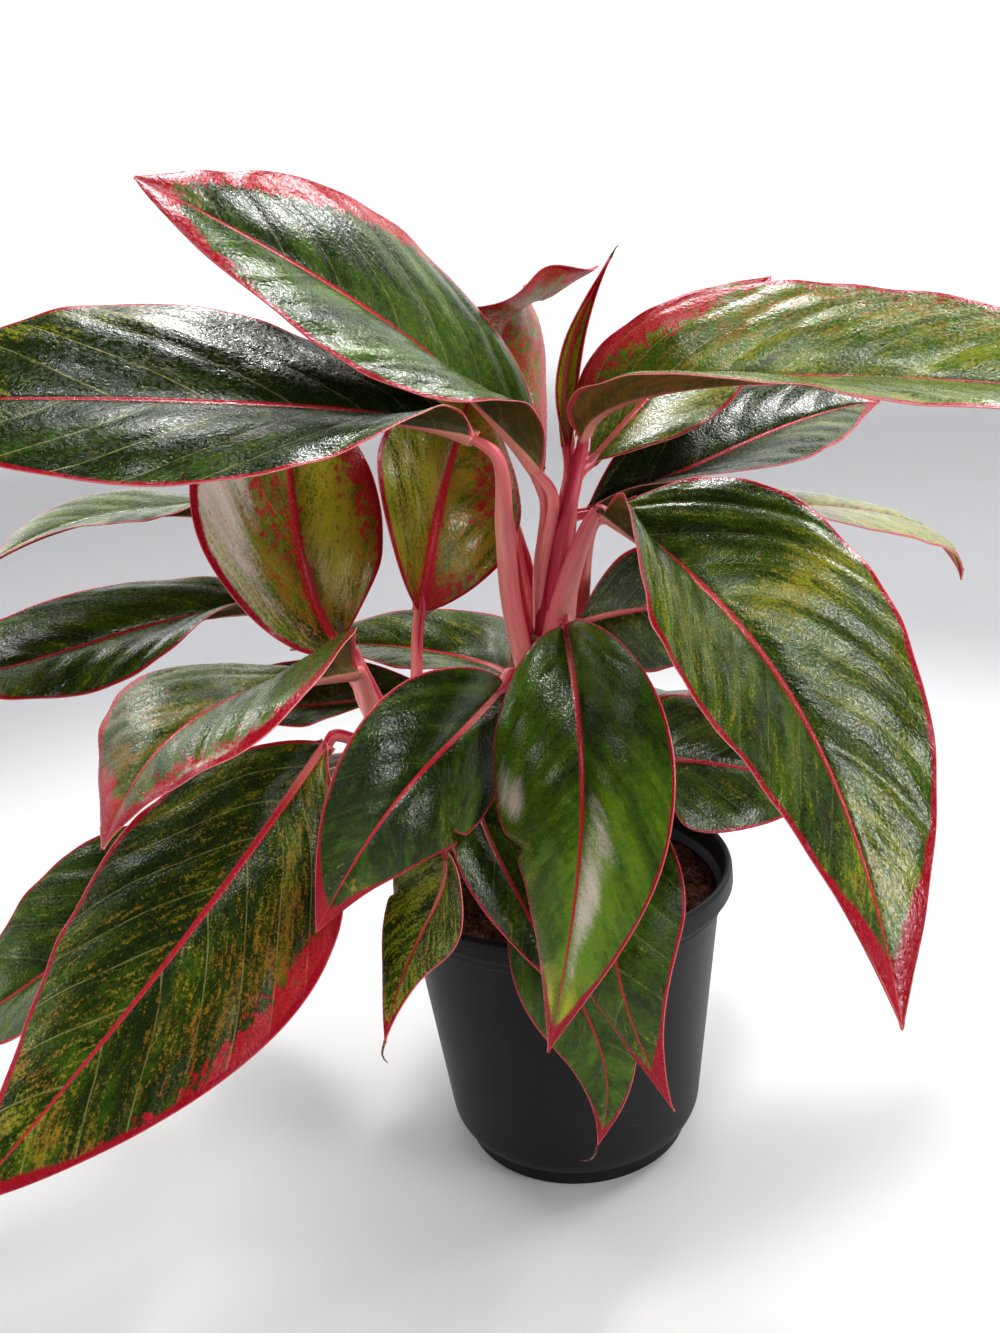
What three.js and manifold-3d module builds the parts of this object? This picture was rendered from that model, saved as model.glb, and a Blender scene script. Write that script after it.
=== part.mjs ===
// Potted chinese evergreen (aglaonema) in a 13 cm nursery pot.
//
// The plant is four shoots that stand in plain holes in the soil. Each shoot is one solid: a short
// cane with the petioles of its leaves. Each leaf blade is a solid of its own, a thin arched sheet
// with its midrib on the underside, set against the end of its petiole.
// Millimetres, +Z up. The origin is the centre of the pot's base, and the photographed side is -Y.

import * as THREE from 'three';
import { mergeVertices } from 'three/addons/utils/BufferGeometryUtils.js';
import Module from 'manifold-3d';

const wasm = await Module();
wasm.setup();

// ---------------------------------------------------------------- driving dimensions

const POT_HEIGHT = 114;
const LIP_RADIUS = 65;
const LIP_DEPTH = 9;
const LIP_WALL = 3;
const COLLAR_RADIUS = 62.2;
const COLLAR_DEPTH = 5;
const WALL_TOP_RADIUS = 60.5;
const WALL_FOOT_RADIUS = 49.5;
const WALL_FOOT_HEIGHT = 10;
const WALL_THICKNESS = 1.6;
const FOOT_RADIUS = 45;
const FOOT_RING_WIDTH = 6;
const BASE_THICKNESS = 2;
const BASE_GROOVE_DEPTH = 3;
const CENTRE_PAD_RADIUS = 12;
const DRAIN_HOLE_RADIUS = 4.5;
const DRAIN_HOLE_CIRCLE = 27;
const DRAIN_HOLES = 6;
const POT_SIDES = 40;

const SOIL_LEVEL = 102;
const FIT_GAP = 0.3;
const HOLE_CLEARANCE = 0.5;

const BLADE_THICKNESS = 0.8;
const BLADE_ROWS = 12;
const RIB_DEPTH = 2.4;
const PETIOLE_END_RADIUS = 2.2;
const PETIOLE_SIDES = 6;
const PETIOLE_STEP = 8;

const DEGREE = Math.PI / 180;

// ---------------------------------------------------------------- colours and finishes

const finish = {
  pot: new THREE.MeshStandardMaterial({ color: 0x2b2b2d, roughness: 0.55, metalness: 0 }),
  soil: new THREE.MeshStandardMaterial({ color: 0x3a2418, roughness: 1, metalness: 0 }),
  stem: new THREE.MeshStandardMaterial({ color: 0xd66a6c, roughness: 0.5, metalness: 0 }),
  leaf: new THREE.MeshStandardMaterial({ color: 0x3b5a22, roughness: 0.35, metalness: 0 }),
};

// ---------------------------------------------------------------- shoots

// A cane is a list of [x, y, z, radius] from its foot in the soil to its growing tip.
const CANES = {
  main: {
    node: 'shoot_main',
    line: [[2, 2, 82, 9], [2, 2, 94, 9], [2, 2, 106, 9], [0, 0, 140, 9], [-1, -4, 180, 8.5], [0, -6, 206, 6]],
  },
  left: {
    node: 'shoot_left',
    line: [[-27, -6, 82, 7], [-27, -6, 94, 7], [-27, -6, 106, 7], [-36, -8, 130, 7], [-48, -14, 155, 6.5], [-57, -18, 172, 5]],
  },
  front: {
    node: 'shoot_front',
    line: [[-12, -32, 82, 5], [-12, -32, 104, 5], [-13, -33, 114, 4.5], [-15, -34, 124, 3.5]],
  },
  right: {
    node: 'shoot_right',
    line: [[24, 6, 82, 4.5], [24, 6, 104, 4.5], [24, 6, 116, 4], [24, 5, 124, 3]],
  },
};

// ---------------------------------------------------------------- leaves

// midrib: four points on the midrib, a third of its length apart, from the blade's root to its tip.
// width: the widest part of the blade, at the share `widest` of its length.
// heading: the compass direction that the blade's side axis is square to, from +X towards +Y.
// roll: turn of the blade about its midrib. rootTwist and tipTwist add to it at the two ends.
// cup: how far the halves are raised to a V at the root. fold: the same, along the whole blade.
// arch: how far each half bends down, as a share of its width.
// skew: how much wider the left half is than the right one, as a share of the half-width.
// ripple: height of the waves along the margins. waves: how many there are.
// stalk: where the petiole leaves its cane, and any points that it passes. girth: its radius there.
const PLAIN_LEAF = {
  roll: 0,
  rootTwist: 0,
  tipTwist: 0,
  cup: 40,
  fold: 10,
  arch: 0.25,
  skew: 0,
  widest: 0.4,
  ripple: 1,
  waves: 1.5,
  girth: 4,
};

const LEAVES = [
  // on the main shoot, from the top down
  {
    node: 'leaf_spear', cane: 'main', width: 16, heading: 90,
    midrib: [[12, 2, 270], [12, -1, 291], [17, -2, 309], [30, -1, 332]],
    cup: 10, fold: 60, arch: 0, widest: 0.35, ripple: 0,
    stalk: [[0, -4, 200], [7, 1, 238]], girth: 4,
  },
  {
    node: 'leaf_top_left', cane: 'main', width: 78, heading: 190,
    midrib: [[1, -8, 263], [-29, -20, 302], [-66, -52, 334], [-105, -71, 359]],
    roll: -42, rootTwist: 50, cup: 55, fold: 18, skew: -0.05, widest: 0.45,
    stalk: [[-2, -4, 186], [0, -9, 228]], girth: 2.8,
  },
  {
    node: 'leaf_left_long', cane: 'main', width: 78, heading: 190,
    midrib: [[-20, -42, 280], [-56, -50, 292], [-114, -76, 302], [-172, -90, 307]],
    roll: -40, rootTwist: 60, cup: 40, fold: 15, arch: 0.2, widest: 0.58,
    stalk: [[-4, -5, 176], [-11, -11, 220], [-12, -22, 246]], girth: 5,
  },
  {
    node: 'leaf_top_back', cane: 'main', width: 54, heading: 90,
    midrib: [[2, 6, 258], [-7, 34, 303], [2, 31, 317], [30, 42, 329]],
    roll: 30, rootTwist: 25, tipTwist: 135, cup: 35, fold: 0, arch: 0.3, widest: 0.45,
    stalk: [[-1, 0, 182], [0, 3, 224]], girth: 3.5,
  },
  {
    node: 'leaf_right_long', cane: 'main', width: 86, heading: -10,
    midrib: [[16, -12, 275], [45, -33, 291], [113, -38, 288], [200, -48, 277]],
    roll: 27, rootTwist: -17, cup: 50, fold: 28, arch: 0.2, widest: 0.57,
    stalk: [[-1, -6, 182], [4, -11, 229]], girth: 5,
  },
  {
    node: 'leaf_right_back_upper', cane: 'main', width: 54, heading: 40,
    midrib: [[20, 5, 264], [49, 32, 286], [76, 55, 305], [101, 75, 321]],
    roll: 40, rootTwist: 15, fold: 15, widest: 0.37,
    stalk: [[1, 2, 184], [9, 10, 226]], girth: 3.5,
  },
  {
    node: 'leaf_right_back_middle', cane: 'main', width: 63, heading: 30,
    midrib: [[19, 12, 245], [66, 33, 257], [106, 57, 266], [144, 73, 269]],
    roll: 27, rootTwist: -10, cup: 45, fold: 20, arch: 0.2, widest: 0.42,
    stalk: [[2, 4, 168], [7, 14, 208]], girth: 3.5,
  },
  {
    node: 'leaf_front_right_large', cane: 'main', width: 102, heading: -45,
    midrib: [[22, -22, 250], [51, -47, 226], [76, -81, 186], [84, -138, 123]],
    roll: 15, rootTwist: -30, cup: 35, fold: 20, arch: 0.15, skew: 0.05,
    stalk: [[1, -7, 176], [7, -14, 222]], girth: 6,
  },
  {
    node: 'leaf_right_back_lower', cane: 'main', width: 58, heading: 20,
    midrib: [[28, 11, 242], [87, 37, 238], [149, 58, 224], [179, 71, 193]],
    roll: 15, rootTwist: -40, cup: 50, fold: 5,
    stalk: [[3, 5, 158], [13, 17, 198]], girth: 3.5,
  },
  {
    node: 'leaf_right_inner', cane: 'main', width: 50, heading: 30,
    midrib: [[12, 3, 206], [38, 22, 204], [66, 40, 196], [93, 58, 177]],
    roll: 80, cup: 35, fold: 5, widest: 0.37,
    stalk: [[3, 2, 152], [6, 1, 184]], girth: 3.5,
  },
  {
    node: 'leaf_front_centre', cane: 'main', width: 66, heading: -95,
    midrib: [[6, -22, 211], [5, -78, 190], [0, -104, 159], [-12, -106, 102]],
    roll: 35, rootTwist: -15, cup: 60, fold: 5, widest: 0.38,
    stalk: [[2, -6, 152], [4, -13, 190]], girth: 4.5,
  },
  {
    node: 'leaf_front_left', cane: 'main', width: 56, heading: -140,
    midrib: [[-17, -25, 193], [-36, -62, 187], [-55, -85, 175], [-79, -96, 143]],
    roll: -75, rootTwist: -5, cup: 35, widest: 0.42,
    stalk: [[-4, -4, 140], [-10, -12, 170]], girth: 4,
  },
  {
    node: 'leaf_centre_back', cane: 'main', width: 56, heading: 150,
    midrib: [[-15, 5, 188], [-35, 35, 188], [-68, 46, 192], [-100, 40, 194]],
    roll: -5, rootTwist: -25, cup: 25, fold: 20, arch: 0.2,
    stalk: [[-4, 3, 136], [-10, 4, 166]], girth: 4,
  },
  {
    node: 'leaf_back_upper', cane: 'main', width: 64, heading: 135,
    midrib: [[-30, 32, 258], [-58, 60, 284], [-90, 90, 288], [-118, 116, 272]],
    widest: 0.42, fold: 12,
    stalk: [[-2, 2, 176], [-5, 13, 218], [-12, 22, 246]], girth: 3.5,
  },
  {
    node: 'leaf_back', cane: 'main', width: 66, heading: 95,
    midrib: [[1, 18, 186], [1, 60, 182], [-3, 98, 160], [-9, 124, 124]],
    widest: 0.42, fold: 12,
    stalk: [[0, 5, 128], [0, 11, 160]], girth: 4,
  },
  {
    node: 'leaf_back_right', cane: 'main', width: 64, heading: 55,
    midrib: [[14, 14, 162], [46, 56, 157], [76, 94, 137], [94, 120, 102]],
    widest: 0.42, fold: 12,
    stalk: [[5, 5, 112], [10, 10, 136]], girth: 4,
  },
  // on the left shoot
  {
    node: 'leaf_centre_upright', cane: 'left', width: 64, heading: 80,
    midrib: [[-44, -5, 217], [-35, 2, 251], [-26, 22, 275], [-18, 33, 296]],
    roll: 45, cup: 45, skew: -0.08, widest: 0.38,
    stalk: [[-50, -14, 160], [-48, -9, 188]], girth: 3.2,
  },
  {
    node: 'leaf_left_upright', cane: 'left', width: 70, heading: 95,
    midrib: [[-73, -15, 211], [-82, -15, 242], [-84, 2, 279], [-80, 15, 297]],
    roll: 20, rootTwist: 15, skew: 0.05, widest: 0.43,
    stalk: [[-57, -16, 168], [-66, -15, 190]], girth: 3.2,
  },
  {
    node: 'leaf_left_folded', cane: 'left', width: 84, heading: -160,
    midrib: [[-66, -40, 207], [-94, -87, 217], [-114, -110, 209], [-126, -127, 190]],
    roll: -10, rootTwist: 60, cup: 35, arch: 0.2, skew: -0.05, widest: 0.38,
    stalk: [[-56, -20, 164], [-62, -26, 186]], girth: 4.2,
  },
  {
    node: 'leaf_left_large', cane: 'left', width: 91, heading: -150,
    midrib: [[-78, -35, 181], [-104, -53, 153], [-139, -82, 119], [-190, -119, 74]],
    roll: -35, rootTwist: 10, fold: 5, widest: 0.48,
    stalk: [[-47, -15, 150], [-62, -24, 172]], girth: 4,
  },
  {
    node: 'leaf_left_back_upper', cane: 'left', width: 55, heading: 190,
    midrib: [[-92, 30, 247], [-133, 31, 254], [-163, 9, 256], [-187, -27, 248]],
    roll: -5, rootTwist: 20, cup: 20, fold: 15, arch: 0.2, widest: 0.42,
    stalk: [[-48, -13, 152], [-63, -4, 182], [-80, 16, 222]], girth: 3.5,
  },
  {
    node: 'leaf_left_back_middle', cane: 'left', width: 64, heading: 200,
    midrib: [[-91, 25, 213], [-140, 18, 215], [-181, -7, 211], [-202, -39, 218]],
    roll: -25, rootTwist: 35, cup: 35, fold: 15, widest: 0.46,
    stalk: [[-44, -11, 144], [-59, -4, 172], [-76, 12, 198]], girth: 3.5,
  },
  {
    node: 'leaf_left_inner', cane: 'left', width: 48, heading: 190,
    midrib: [[-46, 35, 174], [-87, 31, 173], [-111, 22, 177], [-134, 10, 186]],
    roll: -15, rootTwist: -25, fold: 25, arch: 0.2, widest: 0.42,
    stalk: [[-34, -6, 126], [-38, 16, 154]], girth: 3.5,
  },
  {
    node: 'leaf_left_low', cane: 'left', width: 78, heading: 210,
    midrib: [[-118, 0, 123], [-154, -32, 122], [-191, -45, 104], [-228, -45, 84]],
    roll: -10, rootTwist: 5, cup: 50, fold: 20, arch: 0.15,
    stalk: [[-32, -6, 120], [-60, 2, 128], [-92, 4, 128]], girth: 3.5,
  },
  {
    node: 'leaf_back_left', cane: 'left', width: 62, heading: 130,
    midrib: [[-52, 12, 150], [-80, 46, 144], [-108, 76, 124], [-126, 100, 90]],
    widest: 0.42, fold: 12,
    stalk: [[-29, -4, 112], [-40, 4, 134]], girth: 3.5,
  },
  // on the low shoot at the front
  {
    node: 'leaf_pot_middle', cane: 'front', width: 30, heading: -70,
    midrib: [[-29, -45, 164], [-24, -62, 150], [-14, -76, 131], [-7, -82, 107]],
    widest: 0.37,
    stalk: [[-15, -34, 118], [-26, -38, 144]], girth: 2.8,
  },
  {
    node: 'leaf_pot_left', cane: 'front', width: 39, heading: -110,
    midrib: [[-40, -62, 150], [-44, -69, 136], [-54, -75, 120], [-63, -92, 100]],
    roll: 25, rootTwist: -10, fold: 15, arch: 0.2, widest: 0.35,
    stalk: [[-14, -34, 112], [-30, -46, 136]], girth: 2.8,
  },
  {
    node: 'leaf_pot_right', cane: 'front', width: 44, heading: -70,
    midrib: [[3, -36, 153], [11, -69, 139], [12, -87, 115], [28, -89, 64]],
    roll: 35, cup: 35, fold: 0, skew: 0.15, widest: 0.35,
    stalk: [[-12, -32, 116], [-4, -30, 136]], girth: 2.8,
  },
  {
    node: 'leaf_pot_front', cane: 'front', width: 36, heading: -90,
    midrib: [[-11, -47, 128], [-5, -71, 110], [6, -76, 80], [3, -72, 39]],
    widest: 0.37,
    stalk: [[-12, -34, 108], [-12, -38, 122]], girth: 2.6,
  },
  // on the low shoot at the right
  {
    node: 'leaf_right_low', cane: 'right', width: 57, heading: 10,
    midrib: [[32, 0, 150], [52, 10, 146], [84, 18, 135], [117, 33, 118]],
    roll: 50, rootTwist: 5, cup: 30, fold: 5, widest: 0.37,
    stalk: [[24, 5, 112], [26, 2, 132]], girth: 3,
  },
];

// ---------------------------------------------------------------- closed meshes and solids

// A geometry with flat faces from corner points and triangles.
function geometryFrom(points, triangles) {
  const geometry = new THREE.BufferGeometry();
  geometry.setAttribute('position', new THREE.Float32BufferAttribute(points.flatMap((p) => [p.x, p.y, p.z]), 3));
  geometry.setIndex(triangles.flat());
  return geometry;
}

function solidFrom(geometry) {
  const bare = geometry.clone();
  bare.deleteAttribute('normal');
  bare.deleteAttribute('uv');
  const merged = mergeVertices(bare, 1e-4);
  return new wasm.Manifold(new wasm.Mesh({
    numProp: 3,
    vertProperties: new Float32Array(merged.attributes.position.array),
    triVerts: new Uint32Array(merged.index.array),
  }));
}

function geometryOf(solid) {
  const mesh = solid.getMesh();
  const geometry = new THREE.BufferGeometry();
  geometry.setAttribute('position', new THREE.BufferAttribute(new Float32Array(mesh.vertProperties), 3));
  geometry.setIndex(new THREE.BufferAttribute(new Uint32Array(mesh.triVerts), 1));
  return geometry;
}

// ---------------------------------------------------------------- pot and soil

// A turned solid from [radius, height] points that start and end on the axis.
function turned(profile, sides) {
  const points = profile.map(([radius, height]) => new THREE.Vector2(radius, height));
  const geometry = new THREE.LatheGeometry(points, sides);
  geometry.rotateX(Math.PI / 2);
  return geometry;
}

function cylinder(radius, bottom, top, x, y, sides) {
  const geometry = turned([[0, bottom], [radius, bottom], [radius, top], [0, top]], sides);
  geometry.translate(x, y, 0);
  return geometry;
}

// The inside of the pot's wall at a height.
function potInnerRadius(height) {
  const share = (height - WALL_FOOT_HEIGHT) / (POT_HEIGHT - LIP_DEPTH - WALL_FOOT_HEIGHT);
  return WALL_FOOT_RADIUS + (WALL_TOP_RADIUS - WALL_FOOT_RADIUS) * share - WALL_THICKNESS;
}

function potGeometry() {
  const lipUnderside = POT_HEIGHT - LIP_DEPTH;
  const collarUnderside = lipUnderside - COLLAR_DEPTH;
  const wallAtCollar = potInnerRadius(collarUnderside) + WALL_THICKNESS;
  const floor = BASE_GROOVE_DEPTH + BASE_THICKNESS;
  const groove = FOOT_RADIUS - FOOT_RING_WIDTH;
  let pot = solidFrom(turned([
    [0, 0],
    [CENTRE_PAD_RADIUS, 0],
    [CENTRE_PAD_RADIUS + 1, BASE_GROOVE_DEPTH],
    [groove - 1, BASE_GROOVE_DEPTH],
    [groove, 0],
    [FOOT_RADIUS, 0],
    [FOOT_RADIUS + 2.5, 3],
    [WALL_FOOT_RADIUS, WALL_FOOT_HEIGHT],
    [wallAtCollar, collarUnderside],
    [COLLAR_RADIUS, collarUnderside + 1],
    [COLLAR_RADIUS, lipUnderside],
    [LIP_RADIUS - 0.8, lipUnderside],
    [LIP_RADIUS, lipUnderside + 1],
    [LIP_RADIUS - 0.3, POT_HEIGHT - 1.5],
    [LIP_RADIUS - 1.5, POT_HEIGHT],
    [LIP_RADIUS - LIP_WALL + 0.5, POT_HEIGHT - 0.6],
    [LIP_RADIUS - LIP_WALL, POT_HEIGHT - 2],
    [LIP_RADIUS - LIP_WALL - 1, lipUnderside],
    [potInnerRadius(SOIL_LEVEL), SOIL_LEVEL],
    [potInnerRadius(floor + 6), floor + 6],
    [FOOT_RADIUS - 2, floor],
    [0, floor],
  ], POT_SIDES));
  for (let i = 0; i < DRAIN_HOLES; i += 1) {
    const angle = (360 / DRAIN_HOLES) * (i + 0.5) * DEGREE;
    const x = DRAIN_HOLE_CIRCLE * Math.cos(angle);
    const y = DRAIN_HOLE_CIRCLE * Math.sin(angle);
    pot = pot.subtract(solidFrom(cylinder(DRAIN_HOLE_RADIUS, -1, floor + 1, x, y, 12)));
  }
  return geometryOf(pot);
}

function soilGeometry() {
  const floor = BASE_GROOVE_DEPTH + BASE_THICKNESS + FIT_GAP;
  const wallGap = FIT_GAP + 0.1;
  let soil = solidFrom(turned([
    [0, floor],
    [FOOT_RADIUS - 2 - wallGap, floor],
    [potInnerRadius(floor + 6) - wallGap, floor + 6],
    [potInnerRadius(SOIL_LEVEL - 2) - wallGap, SOIL_LEVEL - 2],
    [potInnerRadius(SOIL_LEVEL) - wallGap - 3, SOIL_LEVEL],
    [0, SOIL_LEVEL],
  ], POT_SIDES));
  for (const { line } of Object.values(CANES)) {
    const [x, y, foot, radius] = line[0];
    const hole = cylinder(radius + HOLE_CLEARANCE, foot - FIT_GAP, SOIL_LEVEL + 2, x, y, 16);
    soil = soil.subtract(solidFrom(hole));
  }
  return geometryOf(soil);
}

// ---------------------------------------------------------------- tubes

// A closed tube along a smooth line. radiusAt gives its radius at a share of the line's length, and
// endDirection is square to its last face.
function tube(points, radiusAt, sides, step, startDirection, endDirection) {
  const curve = new THREE.CatmullRomCurve3(points, false, 'centripetal');
  const rings = Math.max(3, Math.round(curve.getLength() / step));
  const corners = [];
  const triangles = [];
  const across = new THREE.Vector3(1, 0, 0);
  for (let i = 0; i <= rings; i += 1) {
    const share = i / rings;
    const centre = curve.getPointAt(share);
    let along = curve.getTangentAt(share);
    if (i === 0) along = startDirection;
    if (i === rings) along = endDirection;
    across.addScaledVector(along, -across.dot(along)).normalize();
    const up = new THREE.Vector3().crossVectors(along, across);
    for (let k = 0; k < sides; k += 1) {
      const angle = (2 * Math.PI * k) / sides;
      corners.push(centre.clone()
        .addScaledVector(across, radiusAt(share) * Math.cos(angle))
        .addScaledVector(up, radiusAt(share) * Math.sin(angle)));
    }
  }
  for (let i = 0; i < rings; i += 1) {
    for (let k = 0; k < sides; k += 1) {
      const a = i * sides + k;
      const b = i * sides + ((k + 1) % sides);
      triangles.push([a, b, b + sides]);
      triangles.push([a, b + sides, a + sides]);
    }
  }
  for (let k = 1; k < sides - 1; k += 1) {
    triangles.push([0, k + 1, k]);
    triangles.push([rings * sides, rings * sides + k, rings * sides + k + 1]);
  }
  return geometryFrom(corners, triangles);
}

function vector(point) {
  return new THREE.Vector3(point[0], point[1], point[2]);
}

// The radius of a cane at a share of its length, between its listed radii.
function caneRadiusAt(line) {
  const points = line.map(vector);
  const reach = [0];
  for (let i = 1; i < points.length; i += 1) {
    reach.push(reach[i - 1] + points[i].distanceTo(points[i - 1]));
  }
  const total = reach[reach.length - 1];
  return (share) => {
    const at = share * total;
    let i = 1;
    while (i < reach.length - 1 && reach[i] < at) i += 1;
    const part = (at - reach[i - 1]) / (reach[i] - reach[i - 1]);
    return THREE.MathUtils.lerp(line[i - 1][3], line[i][3], part);
  };
}

function caneGeometry(line) {
  const points = line.map(vector);
  const last = points[points.length - 1];
  const tipDirection = last.clone().sub(points[points.length - 2]).normalize();
  return tube(points, caneRadiusAt(line), 10, 9, new THREE.Vector3(0, 0, 1), tipDirection);
}

// ---------------------------------------------------------------- blades

// A point on the midrib, and the direction along it, at a share of its length.
function midribAt(leaf, share) {
  const [a, b, c, d] = leaf.midrib.map(vector);
  const t = share;
  const weights = [
    -4.5 * (t - 1 / 3) * (t - 2 / 3) * (t - 1),
    13.5 * t * (t - 2 / 3) * (t - 1),
    -13.5 * t * (t - 1 / 3) * (t - 1),
    4.5 * t * (t - 1 / 3) * (t - 2 / 3),
  ];
  const point = new THREE.Vector3();
  [a, b, c, d].forEach((corner, i) => point.addScaledVector(corner, weights[i]));
  return point;
}

function midribDirection(leaf, share) {
  const reach = 0.0005;
  const ahead = midribAt(leaf, share + reach);
  return ahead.sub(midribAt(leaf, share - reach)).normalize();
}

// Half the blade's width at a share of its length: round at the root and drawn out at the tip.
function halfWidthAt(leaf, share) {
  const t = THREE.MathUtils.clamp(share, 0, 1);
  const rootPower = 1.8 * leaf.widest;
  const tipPower = 1.8 - rootPower;
  const outline = (t / leaf.widest) ** rootPower * ((1 - t) / (1 - leaf.widest)) ** tipPower;
  const root = PETIOLE_END_RADIUS * (1 - t) ** 6;
  return Math.hypot((leaf.width / 2) * outline, root);
}

// A point of the blade's upper face. side runs from -1 at the right margin to 1 at the left one.
function bladeAt(leaf, share, side, leastWidth = 0) {
  const along = midribDirection(leaf, share);
  const heading = leaf.heading * DEGREE;
  const flat = new THREE.Vector3(-Math.sin(heading), Math.cos(heading), 0);
  flat.addScaledVector(along, -flat.dot(along)).normalize();
  const rest = 1 - share;
  const roll = (leaf.roll + leaf.rootTwist * rest ** 3 + leaf.tipTwist * share ** 3) * DEGREE;
  const across = flat.clone().applyAxisAngle(along, roll);
  const up = new THREE.Vector3().crossVectors(along, across);
  const raise = (leaf.cup * rest ** 3 + leaf.fold) * DEGREE;
  const half = Math.max(halfWidthAt(leaf, share), leastWidth) * (1 + Math.sign(side) * leaf.skew);
  const out = Math.abs(side) * half;
  const phase = side > 0 ? 0 : 2.2;
  const wave = leaf.ripple * side ** 2 * 4 * share * rest * Math.sin(2 * Math.PI * leaf.waves * share + phase);
  const lift = out * Math.sin(raise) - leaf.arch * half * side ** 2 + wave;
  return midribAt(leaf, share)
    .addScaledVector(across, Math.sign(side) * out * Math.cos(raise))
    .addScaledVector(up, lift);
}

function bladeNormal(leaf, share, side) {
  const reach = 0.01;
  const ahead = bladeAt(leaf, Math.min(share + reach, 1), side, 4);
  const behind = bladeAt(leaf, Math.max(share - reach, 0), side, 4);
  const left = bladeAt(leaf, share, Math.min(side + 0.1, 1), 4);
  const right = bladeAt(leaf, share, Math.max(side - 0.1, -1), 4);
  return ahead.sub(behind).cross(left.sub(right)).normalize();
}

// The blade as a closed sheet: rows of five points on both faces, split into the same triangles, with
// the midrib as a deeper ridge on the underside, and one point on each face at the tip.
function bladeGeometry(leaf) {
  const sides = [-1, -0.5, 0, 0.5, 1];
  const corners = [];
  const triangles = [];
  for (let row = 0; row < BLADE_ROWS; row += 1) {
    const share = (row / BLADE_ROWS) ** 1.1;
    const upper = sides.map((side) => bladeAt(leaf, share, side));
    const lower = sides.map((side, i) => {
      const rib = side === 0 ? (RIB_DEPTH - BLADE_THICKNESS) * (1 - share) ** 1.5 : 0;
      return upper[i].clone().addScaledVector(bladeNormal(leaf, share, side), -(BLADE_THICKNESS + rib));
    });
    corners.push(...upper, ...lower);
  }
  const tip = bladeAt(leaf, 1, 0);
  corners.push(tip, tip.clone().addScaledVector(bladeNormal(leaf, 1, 0), -BLADE_THICKNESS));
  const across = sides.length;
  const upperAt = (row, i) => row * 2 * across + i;
  const lowerAt = (row, i) => upperAt(row, i) + across;
  const upperTip = BLADE_ROWS * 2 * across;
  const lowerTip = upperTip + 1;
  for (let row = 0; row < BLADE_ROWS - 1; row += 1) {
    for (let i = 0; i < across - 1; i += 1) {
      triangles.push([upperAt(row, i), upperAt(row + 1, i), upperAt(row + 1, i + 1)]);
      triangles.push([upperAt(row, i), upperAt(row + 1, i + 1), upperAt(row, i + 1)]);
      triangles.push([lowerAt(row, i), lowerAt(row + 1, i + 1), lowerAt(row + 1, i)]);
      triangles.push([lowerAt(row, i), lowerAt(row, i + 1), lowerAt(row + 1, i + 1)]);
    }
    triangles.push([lowerAt(row, 0), upperAt(row + 1, 0), upperAt(row, 0)]);
    triangles.push([lowerAt(row, 0), lowerAt(row + 1, 0), upperAt(row + 1, 0)]);
    triangles.push([upperAt(row, across - 1), upperAt(row + 1, across - 1), lowerAt(row + 1, across - 1)]);
    triangles.push([upperAt(row, across - 1), lowerAt(row + 1, across - 1), lowerAt(row, across - 1)]);
  }
  const last = BLADE_ROWS - 1;
  for (let i = 0; i < across - 1; i += 1) {
    triangles.push([upperAt(last, i), upperTip, upperAt(last, i + 1)]);
    triangles.push([lowerAt(last, i), lowerAt(last, i + 1), lowerTip]);
    triangles.push([upperAt(0, i), upperAt(0, i + 1), lowerAt(0, i + 1)]);
    triangles.push([upperAt(0, i), lowerAt(0, i + 1), lowerAt(0, i)]);
  }
  triangles.push([lowerAt(last, 0), upperTip, upperAt(last, 0)]);
  triangles.push([lowerAt(last, 0), lowerTip, upperTip]);
  triangles.push([upperAt(last, across - 1), upperTip, lowerTip]);
  triangles.push([upperAt(last, across - 1), lowerTip, lowerAt(last, across - 1)]);
  return geometryFrom(corners, triangles);
}

// ---------------------------------------------------------------- petioles and shoots

// A petiole, from inside its cane to the root of its blade, thinning on the way.
function petioleGeometry(leaf) {
  const root = midribAt(leaf, 0);
  const along = midribDirection(leaf, 0);
  const ribCentre = bladeNormal(leaf, 0, 0).multiplyScalar(-0.4);
  const end = root.clone().add(ribCentre).addScaledVector(along, -FIT_GAP);
  const points = leaf.stalk.map(vector);
  const start = points[0].clone();
  points.push(end.clone().addScaledVector(along, -9), end);
  const startDirection = points[1].clone().sub(start).normalize();
  const radiusAt = (share) => THREE.MathUtils.lerp(leaf.girth, PETIOLE_END_RADIUS, share ** 1.6);
  return tube(points, radiusAt, PETIOLE_SIDES, PETIOLE_STEP, startDirection, along);
}

function shootGeometry(name) {
  let shoot = solidFrom(caneGeometry(CANES[name].line));
  for (const leaf of allLeaves.filter(({ cane }) => cane === name)) {
    shoot = shoot.add(solidFrom(petioleGeometry(leaf)));
  }
  return geometryOf(shoot);
}

// ---------------------------------------------------------------- the plant in its pot

const allLeaves = LEAVES.map((leaf) => ({ ...PLAIN_LEAF, ...leaf }));

const plant = new THREE.Group();

function place(name, geometry, material) {
  const mesh = new THREE.Mesh(geometry, material);
  mesh.name = name;
  plant.add(mesh);
}

place('pot', potGeometry(), finish.pot.clone());
place('soil', soilGeometry(), finish.soil.clone());
for (const [name, cane] of Object.entries(CANES)) {
  place(cane.node, shootGeometry(name), finish.stem.clone());
}
for (const leaf of allLeaves) {
  place(leaf.node, bladeGeometry(leaf), finish.leaf.clone());
}

export default plant;
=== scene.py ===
"""Potted chinese evergreen: a red-rimmed aglaonema in a black 13 cm nursery pot.

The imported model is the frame. This script dresses it: a moulded pot, loose peat, four shoots of
sheathed petioles, and thirty waxy leaf blades with their veins, margins and colours.
Sizes in the lists are in millimetres, as in the model's own source; MM turns them into metres.
"""

import math
from types import SimpleNamespace

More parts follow.
